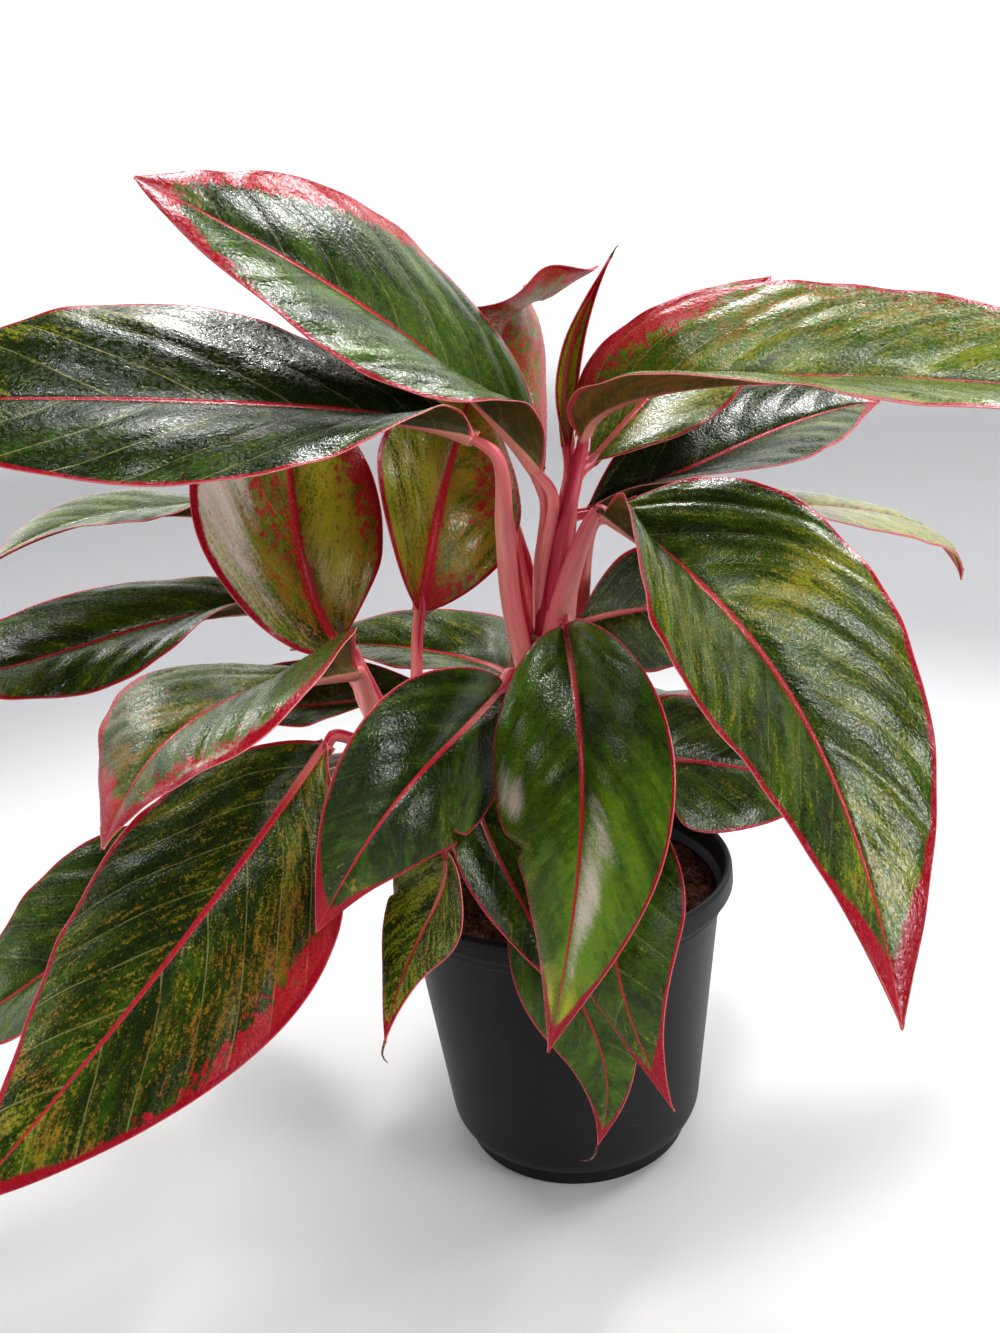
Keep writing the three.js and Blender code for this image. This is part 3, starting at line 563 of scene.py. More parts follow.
leaf("left_large", "left", 91, -150,
     [(-78, -35, 181), (-104, -53, 153), (-139, -82, 119), (-190, -119, 74)],
     [(-47, -15, 150), (-62, -24, 172)], roll=-35, root_twist=10, fold=5, widest=0.48, slim=0.6, ease=3,
     margin=1.8, tip=1.5, rib=1.25, veins=0.5, red=0.22, yellow=0.42, dark=0.25,
     patches=[("yellow", 0.35, 0.6, 0.35, 0.3, 0.28), ("red", 0.45, 0.97, 0.35, 0.2, 0.75),
              ("red", 0.55, 0.75, 0.2, 0.25, 0.25), ("dark", 0.4, -0.3, 0.3, 0.5, 0.4)])
leaf("left_back_upper", "left", 55, 190,
     [(-92, 30, 247), (-133, 31, 254), (-163, 9, 256), (-187, -27, 248)],
     [(-48, -13, 152), (-63, -4, 182), (-80, 16, 222)], roll=-5, root_twist=20, cup=20, fold=15,
     arch=0.2, widest=0.42, girth=3.5, yellow=0.45)
leaf("left_back_middle", "left", 64, 200,
     [(-91, 25, 213), (-140, 18, 215), (-181, -7, 211), (-202, -39, 218)],
     [(-44, -11, 144), (-59, -4, 172), (-76, 12, 198)], roll=-25, root_twist=35, cup=35, fold=15,
     widest=0.46, girth=3.5, yellow=0.35, dark=0.25)
leaf("left_inner", "left", 48, 190,
     [(-46, 35, 174), (-87, 31, 173), (-111, 22, 177), (-134, 10, 186)],
     [(-34, -6, 126), (-38, 16, 154)], roll=-15, root_twist=-25, fold=25, arch=0.2, widest=0.42,
     girth=3.5, dark=0.35)
leaf("left_low", "left", 78, 210,
     [(-118, 0, 123), (-154, -32, 122), (-191, -45, 104), (-228, -45, 84)],
     [(-32, -6, 120), (-60, 2, 128), (-92, 4, 128)], roll=-10, root_twist=5, cup=50, fold=20, arch=0.15,
     girth=3.5, yellow=0.35)
leaf("back_left", "left", 62, 130,
     [(-52, 12, 150), (-80, 46, 144), (-108, 76, 124), (-126, 100, 90)],
     [(-29, -4, 112), (-40, 4, 134)], fold=12, widest=0.42, girth=3.5)
leaf("pot_middle", "front", 30, -70,
     [(-29, -45, 164), (-24, -62, 150), (-14, -76, 131), (-7, -82, 107)],
     [(-15, -34, 118), (-26, -38, 144)], widest=0.37, girth=2.8, margin=0.7, yellow=0.35, dark=0.2)
leaf("pot_left", "front", 39, -110,
     [(-40, -62, 150), (-44, -69, 136), (-54, -75, 120), (-63, -92, 100)],
     [(-14, -34, 112), (-30, -46, 136)], roll=25, root_twist=-10, fold=15, arch=0.2, widest=0.35,
     nicks=[(-1, 0.42, 0.12, 0.03)], girth=2.8, margin=0.55, rib=0.8, yellow=0.6, dark=0.35)
leaf("pot_right", "front", 44, -70,
     [(3, -36, 153), (11, -69, 139), (12, -87, 115), (28, -89, 64)], [(-12, -32, 116), (-4, -30, 136)],
     roll=35, cup=35, fold=0, skew=0.15, widest=0.35, girth=2.8, margin=0.8, tip=7, rib=0.8,
     yellow=0.25)
leaf("pot_front", "front", 36, -90,
     [(-11, -47, 128), (-5, -71, 110), (6, -76, 80), (3, -72, 39)], [(-12, -34, 108), (-12, -38, 122)],
     widest=0.37, girth=2.6, margin=0.5, tip=4, rib=0.6, yellow=0.1, pale=0.4)
leaf("right_low", "right", 57, 10,
     [(32, 0, 150), (52, 10, 146), (84, 18, 135), (117, 33, 118)], [(24, 5, 112), (26, 2, 132)],
     roll=50, root_twist=5, cup=30, fold=5, widest=0.37, girth=3, red=0.2, yellow=0.35, dark=0.15)

PETIOLE_END_RADIUS = 2.2


def normalised(vectors):
    return vectors / np.linalg.norm(vectors, axis=-1, keepdims=True)


def midrib_at(plan, t):
    """Points on the midrib at shares t of its length: the cubic through the plan's four points."""
    weights = np.stack([
        -4.5 * (t - 1 / 3) * (t - 2 / 3) * (t - 1),
        13.5 * t * (t - 2 / 3) * (t - 1),
        -13.5 * t * (t - 1 / 3) * (t - 1),
        4.5 * t * (t - 1 / 3) * (t - 2 / 3),
    ], axis=-1)
    return weights @ plan["midrib"]


def blade_axes(plan, t):
    """Unit vectors along the midrib, across the blade to its left, and up from its upper face."""
    along = normalised(midrib_at(plan, t + 0.0005) - midrib_at(plan, t - 0.0005))
    heading = math.radians(plan["heading"])
    flat = np.array([-math.sin(heading), math.cos(heading), 0])
    flat = normalised(flat - along * (along @ flat)[..., None])
    roll = plan["roll"] + plan["root_twist"] * (1 - t) ** 3 + plan["tip_twist"] * t**3
    roll = np.radians(roll)[..., None]
    across = flat * np.cos(roll) + np.cross(along, flat) * np.sin(roll)
    return along, across, np.cross(along, across)


def half_width(plan, t):
    """Half the blade's width at t: round at the root, drawn out at the tip."""
    root_power = 1.8 * plan["widest"]
    tip_power = 1.8 - root_power
    outline = (t / plan["widest"]) ** root_power * ((1 - t) / (1 - plan["widest"])) ** tip_power
    return np.hypot(plan["width"] / 2 * outline, PETIOLE_END_RADIUS * (1 - t) ** 6)


# ---------------------------------------------------------------- shoots
# Four canes stand in the peat. Each leaf has a fleshy pink petiole whose sheath wraps the next one,
# open on its inner side. It is redder towards that side and along its groove, and near the blade
# the petiole is channelled.

# Points up the middle of each cane, with its radius there.
CANES = {
    "main": [(2, 2, 82, 9), (2, 2, 94, 9), (2, 2, 106, 9), (0, 0, 140, 9), (-1, -4, 180, 8.5),
             (0, -6, 206, 6)],
    "left": [(-27, -6, 82, 7), (-27, -6, 94, 7), (-27, -6, 106, 7), (-36, -8, 130, 7), (-48, -14, 155, 6.5),
             (-57, -18, 172, 5)],
    "front": [(-12, -32, 82, 5), (-12, -32, 104, 5), (-13, -33, 114, 4.5), (-15, -34, 124, 3.5)],
    "right": [(24, 6, 82, 4.5), (24, 6, 104, 4.5), (24, 6, 116, 4), (24, 5, 124, 3)],
}
PETIOLE_SIDES = 28
CANE_SIDES = 32
STALK_STEP = 1.5


def smooth_line(points, step):
    """A centripetal Catmull-Rom line through the points, in even steps, and its tangents."""
    points = np.asarray(points, float)
    padded = np.vstack([2 * points[0] - points[1], points, 2 * points[-1] - points[-2]])
    fine = []
    for a, b, c, d in zip(padded, padded[1:], padded[2:], padded[3:]):
        ab, bc, cd = (math.sqrt(np.linalg.norm(q - p)) for p, q in ((a, b), (b, c), (c, d)))
        start = bc * ((b - a) / ab - (c - a) / (ab + bc) + (c - b) / bc)
        end = bc * ((c - b) / bc - (d - b) / (bc + cd) + (d - c) / cd)
        t = np.linspace(0, 1, 24, endpoint=False)[:, None]
        square, cube = 3 * (c - b) - 2 * start - end, 2 * (b - c) + start + end
        fine.append(b + start * t + square * t**2 + cube * t**3)
    fine = np.vstack([*fine, points[-1:]])
    reach = np.concatenate([[0], np.cumsum(np.linalg.norm(np.diff(fine, axis=0), axis=1))])
    places = np.linspace(0, reach[-1], max(4, round(reach[-1] / step)) + 1)
    line = np.stack([np.interp(places, reach, fine[:, k]) for k in range(3)], axis=1)
    return line, normalised(np.gradient(line, axis=0)), places


def stalk(points, up_at_end, sides, section):
    """Corners, faces and colouring of a closed stalk. section(share, turn) gives its radius and how
    deep in the groove each point is; turn is the angle from the side that faces up_at_end."""
    line, tangents, places = smooth_line(points, STALK_STEP)
    up = np.asarray(up_at_end, float)
    ups = []
    for tangent in tangents[::-1]:
        up = up - tangent * (up @ tangent)
        up = up / np.linalg.norm(up)
        ups.append(up)
    ups = np.array(ups[::-1])
    sideways = np.cross(ups, tangents)
    share = (places / places[-1])[:, None]
    turn = np.linspace(-math.pi, math.pi, sides, endpoint=False)[None, :]
    radius, groove = section(share, turn)
    radius = np.broadcast_to(radius, (len(line), sides))[..., None]
    outward = ups[:, None] * np.cos(turn)[..., None] + sideways[:, None] * np.sin(turn)[..., None]
    corners = (line[:, None] + outward * radius).reshape(-1, 3)
    faces = band_faces(0, len(line), sides, inside_out=True)
    faces.append(tuple(range(sides)))
    faces.append(tuple(reversed(range((len(line) - 1) * sides, len(line) * sides))))
    colouring = np.stack(np.broadcast_arrays(places[:, None], turn * 3, groove), axis=-1).reshape(-1, 3)
    return corners.tolist(), faces, colouring.tolist()


def petiole_section(plan, tail):
    """A petiole's radius and redness. Its sheath's two edges stand up beside the groove, and end at
    the sheath's share of its length. The tail is the share that runs on under the midrib."""
    def section(share, turn):
        share = share / (1 - tail)
        girth = plan["girth"] * plan["slim"]
        radius = girth + (PETIOLE_END_RADIUS - girth) * np.clip(share, 0, 1) ** 1.6
        radius = radius * (1 - 0.55 * np.clip((share - 1) * (1 - tail) / tail, 0, 1))
        turn = turn - plan["open_way"] * np.clip(1 - share, 0, 1) ** 0.7
        turn = (turn + math.pi) % (2 * math.pi) - math.pi
        open_part = np.clip((plan["sheath"] - share) / 0.06, 0, 1) * np.clip(share / 0.15, 0, 1)
        channel = np.clip((share - plan["sheath"]) / 0.2, 0, 1)
        near_top = np.exp(-(turn / 0.5) ** 2)
        edges = np.exp(-((np.abs(turn) - 0.8) / 0.2) ** 2)
        wrap = 1 + 0.16 * open_part * np.sin(turn) ** 2
        shape = wrap - (0.42 * open_part + 0.6 * channel) * near_top + 0.13 * open_part * edges
        inner_side = 0.5 + 0.5 * np.cos(turn)
        redness = plan["blush"] + 0.45 * inner_side**2 + near_top * (0.2 * channel + 0.6 * open_part)
        return radius * shape, redness + 0.25 * np.clip(share * 1.6 - 0.9, 0, 1)
    return section


def cane_section(line):
    """A cane's radius, ringed with the scars of old leaves, and how woody it is."""
    reach = np.concatenate([[0], np.cumsum(np.linalg.norm(np.diff(np.array(line)[:, :3], axis=0), axis=1))])

    def section(share, turn):
        radius = np.interp(share * reach[-1], reach, [point[3] for point in line])
        scars = np.exp(-(((share * 9 + 0.06 * np.sin(turn)) % 1 - 0.5) ** 2) / 0.004)
        return radius * (1 + 0.035 * scars) + 0 * turn, -0.6 * scars - 0.2
    return section


def store(target, name, values):
    """A vector for each corner, which the finish reads by name."""
    made = target.data.attributes.new(name, "FLOAT_VECTOR", "POINT")
    made.data.foreach_set("vector", np.asarray(values, np.float32).ravel())


def marks_of(tree, name):
    """The stored vectors, as the finish reads them."""
    return add(tree, "ShaderNodeAttribute", attribute_name=name).outputs["Vector"]


flesh, tree, shader = new_finish("pink_stalk", roughness=0.42)
shader.inputs["Subsurface Weight"].default_value = 0.12
shader.inputs["Subsurface Radius"].default_value = (0.004, 0.0015, 0.001)
shader.inputs["Subsurface Scale"].default_value = 0.6
marks = marks_of(tree, "stalk_marks")
depth = separated(tree, marks)["Z"]
streaks = speckle(tree, stretched(tree, marks, (0.03, 0.5, 0)), 1.0, 4.0, 0.6)
fine_streaks = speckle(tree, stretched(tree, marks, (0.07, 2.2, 0)), 1.0, 3.0, 0.6)
redness = weighted(tree, -0.6, (depth, 1), (streaks, 0.9), (fine_streaks, 0.3))
blush = smooth_step(tree, redness, -0.1, 0.5)
shade = colour_mix(tree, blush, (0.86, 0.44, 0.35), (0.74, 0.19, 0.20))
shade = colour_mix(tree, smooth_step(tree, redness, 0.4, 1.0), shade, (0.48, 0.02, 0.06))
flecks = smooth_step(tree, speckle(tree, surface_point(tree), 420.0, 2.0), 0.68, 0.76)
shade = colour_mix(tree, maths(tree, "MULTIPLY", flecks, 0.3), shade, (0.50, 0.06, 0.08))
woody = smooth_step(tree, depth, -0.1, -0.2)
bark = colour_mix(tree, streaks, (0.30, 0.22, 0.12), (0.42, 0.20, 0.14))
shade = colour_mix(tree, woody, shade, bark)
shade = colour_mix(tree, smooth_step(tree, depth, -0.4, -0.7), shade, (0.16, 0.09, 0.05))
tree.links.new(shade, shader.inputs["Base Color"])
tree.links.new(bump(tree, fine_streaks, 0.25, 0.0003), shader.inputs["Normal"])

for cane, line in CANES.items():
    corners, faces, marks = stalk([point[:3] for point in line], (0, -1, 0), CANE_SIDES, cane_section(line))
    for plan in [each for each in LEAVES if each["cane"] == cane]:
        blade_length = np.linalg.norm(np.diff(plan["midrib"], axis=0), axis=1).sum()
        under_rib = np.array([0, 5, 11]) / blade_length
        along, across, up = blade_axes(plan, under_rib)
        rib = midrib_at(plan, under_rib)
        end = rib[0] - 0.4 * up[0] - 0.3 * along[0]
        way = np.vstack([plan["stalk"], end - plan["ease"] * along[0], end, rib[1:] - 1.3 * up[1:]])
        tail = 11 / (11 + np.linalg.norm(np.diff(way[:-2], axis=0), axis=1).sum())
        more, more_faces, more_marks = stalk(way, up[-1], PETIOLE_SIDES, petiole_section(plan, tail))
        faces += [tuple(len(corners) + k for k in face) for face in more_faces]
        corners += more
        marks += more_marks
    shoot = mesh_piece(f"{cane}_shoot", corners, faces, flesh)
    store(shoot, "stalk_marks", marks)
    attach(shoot, "root")
    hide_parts(f"shoot_{cane}")

# ---------------------------------------------------------------- blades
# Thin waxy leaf blades. The midrib is a shallow channel above and a round ridge below, the side
# veins are sunk with the blade quilted between them, and the margin is a thin red edge.

ROW_STEP = 1.5
COLUMN_STEP = 1.7
BLADE_THICKNESS = 0.6
MARGIN_THICKNESS = 0.3
LAST_ROW = 0.998
PLAIN_WIDTH = 80
VEIN_SPACING = 21.0
VEIN_LEAN = 1.0
VEIN_BEND = 0.55

RUST = (0.30, 0.14, 0.022)
RIPE_YELLOW = (0.48, 0.42, 0.035)
# Partly the leaf's own pale pink, partly painted glare laid into the colour.
PINK_AND_PAINTED_GLARE = (0.72, 0.60, 0.54)
UPPER_COLOURS = dict(
    dark=(0.013, 0.025, 0.003), mid=(0.052, 0.104, 0.006), bright=(0.13, 0.23, 0.012),
    olive=(0.26, 0.26, 0.018), red=(0.45, 0.016, 0.032), edge_red=(0.30, 0.005, 0.018),
    edge_pale=(0.60, 0.12, 0.14), rib=(0.43, 0.022, 0.036), rib_root=(0.62, 0.17, 0.15),
    vein_pale=(0.34, 0.31, 0.11),
)
UNDER_COLOURS = dict(
    dark=(0.05, 0.045, 0.010), mid=(0.11, 0.08, 0.016), bright=(0.17, 0.13, 0.024),
    olive=(0.30, 0.11, 0.022), red=(0.44, 0.08, 0.035), edge_red=(0.46, 0.05, 0.055),
    edge_pale=(0.68, 0.24, 0.22), rib=(0.58, 0.17, 0.15), rib_root=(0.66, 0.28, 0.22),
    vein_pale=(0.30, 0.18, 0.08),
)


def vein_count(plan, x, distance, length):
    """Counts the side veins: a whole number on each. They leave the midrib at 45 degrees and bend
    towards the tip as they near the margin."""
    veins = max(4, round(length / VEIN_SPACING))
    start = x - VEIN_LEAN * distance - VEIN_BEND * distance**2 / (plan["width"] / 2)
    return veins * start / length


def ripples(first, second, seed):
    """Smooth irregular waves between about -1 and 1, from sines that never fall in step."""
    total = 0
    for k, (a, b) in enumerate([(1.0, 0.31), (0.63, -0.83), (1.71, 0.57), (0.37, 1.19), (2.3, -0.4)]):
        total = total + np.sin(a * first + b * second + seed * (k + 1.3) + 1.7 * k) / (1 + 0.35 * k)
    return total / 2.2


def blade_grid(plan):
    """The grid that a blade is made on: rows from root to tip, and columns from edge to edge that
    stand closer by the midrib and the edge. share and rest are a row's way from the root and to the
    tip, x its distance from the root, and y, side and edge a point's way off midrib and edge."""
    middle = midrib_at(plan, np.linspace(0, 1, 60))
    length = np.linalg.norm(np.diff(middle, axis=0), axis=1).sum()
    rows = max(30, round(length / ROW_STEP))
    columns = max(7, round(plan["width"] / 2 / COLUMN_STEP))
    t = np.linspace(0, 1, rows + 1)[:-1] ** 1.08
    t = np.append(t, LAST_ROW)
    rib_radius = (PETIOLE_END_RADIUS * (1 - t) ** 0.9 + 0.28) * (0.6 + 0.4 * plan["width"] / PLAIN_WIDTH)
    half = half_width(plan, t)
    inner = np.minimum(rib_radius * 1.15, half * 0.5)[:, None]
    near = inner * np.array([0.34, 0.62, 0.84, 1.0])
    out = 1 - (1 - np.arange(1, columns + 1) / columns) ** 1.25
    far = inner + (half[:, None] - inner) * out
    far[:, -2] = half - np.minimum(0.5, (half - inner[:, 0]) * 0.12)
    reach = np.hstack([near, far])
    y = np.hstack([-reach[:, ::-1], np.zeros((len(t), 1)), reach])
    side = y / half[:, None]
    share = t[:, None]
    return SimpleNamespace(
        t=t, share=share, rest=1 - share, length=length, x=share * length + 0 * side, y=y, side=side,
        sign=np.sign(side), distance=np.abs(y), half=half[:, None], edge=half[:, None] - np.abs(y),
        inner=inner, rib_radius=rib_radius[:, None], size=plan["width"] / PLAIN_WIDTH,
        seed=plan["number"] * 3.7,
    )


def bare_blade(plan, grid):
    """The model's own blade: its points, and which way its upper face looks."""
    _, across, up = blade_axes(plan, grid.t)
    raise_angle = np.radians(plan["cup"] * grid.rest**3 + plan["fold"])
    nick = np.ones_like(grid.side)
    for which, at, depth, spread in plan["nicks"]:
        dip = depth * np.exp(-(((grid.t - at) / spread) ** 2))[:, None]
        nick -= np.where(grid.sign == which, dip * grid.side**2, 0)
    outward = np.abs(grid.side) * grid.half * (1 + grid.sign * plan["skew"]) * nick
    wave = plan["ripple"] * grid.side**2 * 4 * grid.share * grid.rest
    wave = wave * np.sin(2 * math.pi * plan["waves"] * grid.share + np.where(grid.side > 0, 0, 2.2))
    lift = outward * np.sin(raise_angle) - plan["arch"] * grid.half * grid.side**2 + wave
    width_way = (grid.sign * outward * np.cos(raise_angle))[..., None]
    face = midrib_at(plan, grid.t)[:, None] + across[:, None] * width_way + up[:, None] * lift[..., None]
    return face, normalised(np.cross(np.gradient(face, axis=0), np.gradient(face, axis=1)))


def blade_veins(plan, grid):
    """The count of side veins, how far a point is off the nearest one, and how much it shows there:
    nothing on the midrib, at the margin and at the tip."""
    count = vein_count(plan, grid.x, grid.distance, grid.length) + np.where(grid.side > 0, 0, 0.45)
    count = count + 0.16 * ripples(grid.x * 0.05, grid.y * 0.09, grid.seed)
    fade = np.clip((grid.distance - grid.inner) / 5, 0, 1) * np.clip(grid.edge / 6, 0, 1)
    return count, np.abs(count - np.round(count)), fade * np.clip(grid.rest * 5, 0, 1)


def upper_relief(grid, count, off_vein, fade):
    """How far the upper face stands out: it is quilted between the sunk veins, uneven all over,
    channelled along the midrib and wavy by the margin."""
    pillow = 1 - 0.75 * np.exp(-((off_vein / 0.09) ** 2)) - 0.5 * np.cos(2 * math.pi * off_vein) ** 3
    depth = 0.75 + 0.45 * ripples(np.round(count) * 2.3 + 4 * grid.sign, grid.share * 5, grid.seed)
    relief = fade * grid.size * (0.4 * depth * (pillow - 0.8))
    relief += fade * grid.size * 0.65 * ripples(grid.x * 0.085, grid.y * 0.13, grid.seed + 2)
    relief += fade * grid.size * 0.10 * ripples(grid.x * 0.45, grid.y * 0.6, grid.seed + 5)
    channel = np.exp(-((grid.distance / (1.4 * grid.rib_radius)) ** 2))
    relief -= 0.45 * channel * np.clip(grid.rest * 4, 0, 1)
    by_edge = np.clip(1 - grid.edge / 9, 0, 1) * np.clip(grid.rest * 6, 0, 1)
    by_edge = by_edge * np.clip(grid.share * 12, 0, 1)
    return relief + 0.8 * grid.size * by_edge * ripples(grid.x * 0.16 + grid.sign * 9, 0, grid.seed)


def thickness(grid, off_vein, fade):
    """How far the underside lies below the upper face: the sheet, the round midrib and low veins."""
    sheet = MARGIN_THICKNESS + (BLADE_THICKNESS - MARGIN_THICKNESS) * np.clip(grid.edge / 2.5, 0, 1)
    dome = np.sqrt(np.clip(1 - (grid.distance / (1.1 * grid.rib_radius)) ** 2, 0, 1))
    midrib = (0.95 + 0.25 * grid.share) * grid.rib_radius * dome
    return sheet + midrib + 0.35 * grid.size * fade * np.exp(-((off_vein / 0.05) ** 2))


def sheet_faces(rows, columns):
    """Faces of a closed sheet, and how many of them are its upper ones, which come first. Its upper
    points come first too, then the lower ones, then its tip's two."""
    under = rows * columns
    tip_over, tip_under = 2 * under, 2 * under + 1
    starts = [i * columns + k for i in range(rows - 1) for k in range(columns - 1)]
    faces = [(a, a + columns, a + columns + 1, a + 1) for a in starts]
    faces += [(under + a, under + a + 1, under + a + columns + 1, under + a + columns) for a in starts]
    for i in range(rows - 1):
        a = i * columns
        faces.append((a, under + a, under + a + columns, a + columns))
        b = a + columns - 1
        faces.append((b, b + columns, under + b + columns, under + b))
    first_row = list(range(columns))
    faces.append(tuple(first_row + [under + k for k in reversed(first_row)]))
    last = (rows - 1) * columns
    for k in range(columns - 1):
        faces.append((last + k, tip_over, last + k + 1))
        faces.append((under + last + k, under + last + k + 1, tip_under))
    faces.append((last, under + last, tip_under, tip_over))
    faces.append((last + columns - 1, tip_over, tip_under, under + last + columns - 1))
    return faces, len(starts)


def blade_marks(plan, grid, count):
    """What the finish reads at each point, on both faces and the tips: where it is, which vein and
    how far across the midrib, how near the red rim, and how red, yellow and pale the leaf is there.
    Paleness and pink also carry the painted shade, painted reflection and painted glare of some patches."""
    amounts = {what: plan[what] for what in ("red", "yellow", "dark", "pale")}
    amounts["pink"] = 0
    amounts["yellow"] = plan["yellow"] + np.exp(-(((grid.share - 0.88) / 0.05) ** 2)) * 0.25
    for what, at, out_at, spread, breadth, amount in plan["patches"]:
        spot = np.exp(-(((grid.share - at) / spread) ** 2) - ((grid.side - out_at) / breadth) ** 2)
        amounts[what] = amounts[what] + amount * spot
    margin = plan["margin"] * (1 + plan["tip"] * np.clip((grid.share - 0.78) / 0.2, 0, 1) ** 2)
    rib_units = grid.distance / (grid.rib_radius * 0.55 * plan["rib"])
    marks = {
        "blade": (grid.x, grid.y, grid.edge),
        "vein": (count, rib_units, grid.seed),
        "rim": (grid.edge / margin, amounts["pink"], plan["veins"]),
        "paint": (amounts["red"], amounts["yellow"], amounts["pale"] - amounts["dark"]),
    }
    rows, columns = grid.side.shape
    tip = (rows - 1) * columns + columns // 2
    for name, values in marks.items():
        flat = np.stack(np.broadcast_arrays(grid.side, *values)[1:], axis=-1).reshape(-1, 3)
        marks[name] = np.vstack([flat, flat, flat[tip], flat[tip]])
    return marks


def blade_mesh(plan):
    """Corners, faces, the number of upper faces, and marks of one blade."""
    grid = blade_grid(plan)
    face, normal = bare_blade(plan, grid)
    count, off_vein, fade = blade_veins(plan, grid)
    upper = face + normal * upper_relief(grid, count, off_vein, fade)[..., None]
    lower = upper - normal * thickness(grid, off_vein, fade)[..., None]
    tip = midrib_at(plan, np.array([1.0]))
    rows, columns = grid.side.shape
    tips = np.vstack([tip, tip - normal[-1, columns // 2] * MARGIN_THICKNESS])
    corners = np.vstack([upper.reshape(-1, 3), lower.reshape(-1, 3), tips])
    return corners, *sheet_faces(rows, columns), blade_marks(plan, grid, count)


def leaf_colours(tree, dark, mid, bright, olive, red, edge_red, edge_pale, rib, rib_root, vein_pale):
    """The colour of a leaf's face from its marks, with what its gloss and bump need too."""
    blade = separated(tree, marks_of(tree, "blade"))
    vein = separated(tree, marks_of(tree, "vein"))
    rim = separated(tree, marks_of(tree, "rim"))
    paint = separated(tree, marks_of(tree, "paint"))

    # Streaks lie along the side veins; grain is the fine speckling of the leaf's cells.
    way = add(tree, "ShaderNodeCombineXYZ", {"X": vein["X"], "Y": blade["Y"], "Z": vein["Z"]}).outputs[0]
    cells = add(tree, "ShaderNodeCombineXYZ", {"X": blade["X"], "Y": blade["Y"], "Z": vein["Z"]}).outputs[0]
    broad = speckle(tree, stretched(tree, way, (1.5, 0.055, 1)), 1.0, 3.0, 0.6)
    streaks = speckle(tree, stretched(tree, way, (7, 0.22, 1)), 1.0, 4.0, 0.7)
    grain = speckle(tree, stretched(tree, cells, (1.1, 1.1, 1)), 1.0, 3.0, 0.75)
    blotch = speckle(tree, stretched(tree, cells, (0.09, 0.09, 1)), 1.0, 3.0, 0.6)
    islands = speckle(tree, stretched(tree, cells, (0.3, 0.3, 1)), 1.0, 4.0, 0.7)

    # The paleness in the marks moves the green between dark and bright; some patches use it for painted
    # shade and one for a painted reflection.
    greens = weighted(tree, 0, (broad, 0.45), (streaks, 0.25), (islands, 0.3), (paint["Z"], 0.16))
    colour = colour_mix(tree, smooth_step(tree, greens, 0.38, 0.6), dark, mid)
    colour = colour_mix(tree, smooth_step(tree, greens, 0.55, 0.75), colour, bright)

    # Olive, pinkish white and red are laid in specks, thickest along streaks. The pinkish white
    # is partly the leaf's own pale pink and partly painted glare, where the wax would shine.
    specks = weighted(tree, 0, (grain, 0.5), (streaks, 0.5))
    olive_amount = weighted(tree, 0.205, (paint["Y"], 0.26), (broad, 0.25), (specks, -1))
    olive_share = smooth_step(tree, olive_amount, -0.055, 0.085)
    rust = weighted(tree, -0.25, (paint["X"], 1), (blotch, 0.5))
    rusty = colour_mix(tree, smooth_step(tree, rust, 0.1, 0.35), olive, RUST)
    ripe = colour_mix(tree, smooth_step(tree, paint["Y"], 0.7, 1.15), rusty, RIPE_YELLOW)
    colour = colour_mix(tree, maths(tree, "MULTIPLY", olive_share, 0.85), colour, ripe)
    pink_and_glare_amount = weighted(tree, 0, (rim["Y"], 1), (broad, -1.6), (specks, -1.6))
    pink_and_glare_share = smooth_step(tree, pink_and_glare_amount, -1.1, 0.0)
    colour = colour_mix(tree, maths(tree, "MULTIPLY", pink_and_glare_share, 0.9), colour, PINK_AND_PAINTED_GLARE)
    near_edge = smooth_step(tree, rim["X"], 7.0, 1.0)
    red_amount = weighted(tree, 0.24, (paint["X"], 0.3), (near_edge, 0.1))
    red_amount = weighted(tree, red_amount, (grain, -0.2), (islands, -0.55), (streaks, -0.25))
    red_share = smooth_step(tree, red_amount, -0.03, 0.04)
    bright_red = colour_mix(tree, smooth_step(tree, grain, 0.35, 0.6), edge_red, red)
    colour = colour_mix(tree, maths(tree, "MULTIPLY", red_share, 0.9), colour, bright_red)

    # A side vein is a thin pale line, the midrib a red one, and the margin a red rim with a pale edge.
    off_vein = maths(tree, "SUBTRACT", vein["X"], maths(tree, "ROUND", vein["X"]))
    vein_line = smooth_step(tree, maths(tree, "ABSOLUTE", off_vein), 0.032, 0.008)
    faint = maths(tree, "MULTIPLY", smooth_step(tree, streaks, 0.3, 0.6), rim["Z"])
    colour = colour_mix(tree, maths(tree, "MULTIPLY", vein_line, faint), colour, vein_pale)
    off_rim = weighted(tree, 0.95, (rim["X"], 1), (blotch, -1.6), (grain, -0.5))
    colour = colour_mix(tree, smooth_step(tree, off_rim, 1.35, 0.85), colour, edge_red)
    colour = colour_mix(tree, smooth_step(tree, blade["Z"], 0.5, 0.1), colour, edge_pale)
    off_root = smooth_step(tree, blade["X"], 8.0, 45.0)
    deep = maths(tree, "MAXIMUM", off_root, smooth_step(tree, paint["X"], 0.35, 0.7))
    rib = colour_mix(tree, deep, rib_root, rib)
    rib_edge = weighted(tree, 0, (vein["Y"], 1), (grain, 0.4))
    colour = colour_mix(tree, smooth_step(tree, rib_edge, 1.45, 1.0), colour, rib)
    return colour, way, cells


upper_skin, tree, shader = new_finish("leaf_upper", roughness=0.3, specular=0.34)
colour, way, cells = leaf_colours(tree, **UPPER_COLOURS)
tree.links.new(colour, shader.inputs["Base Color"])
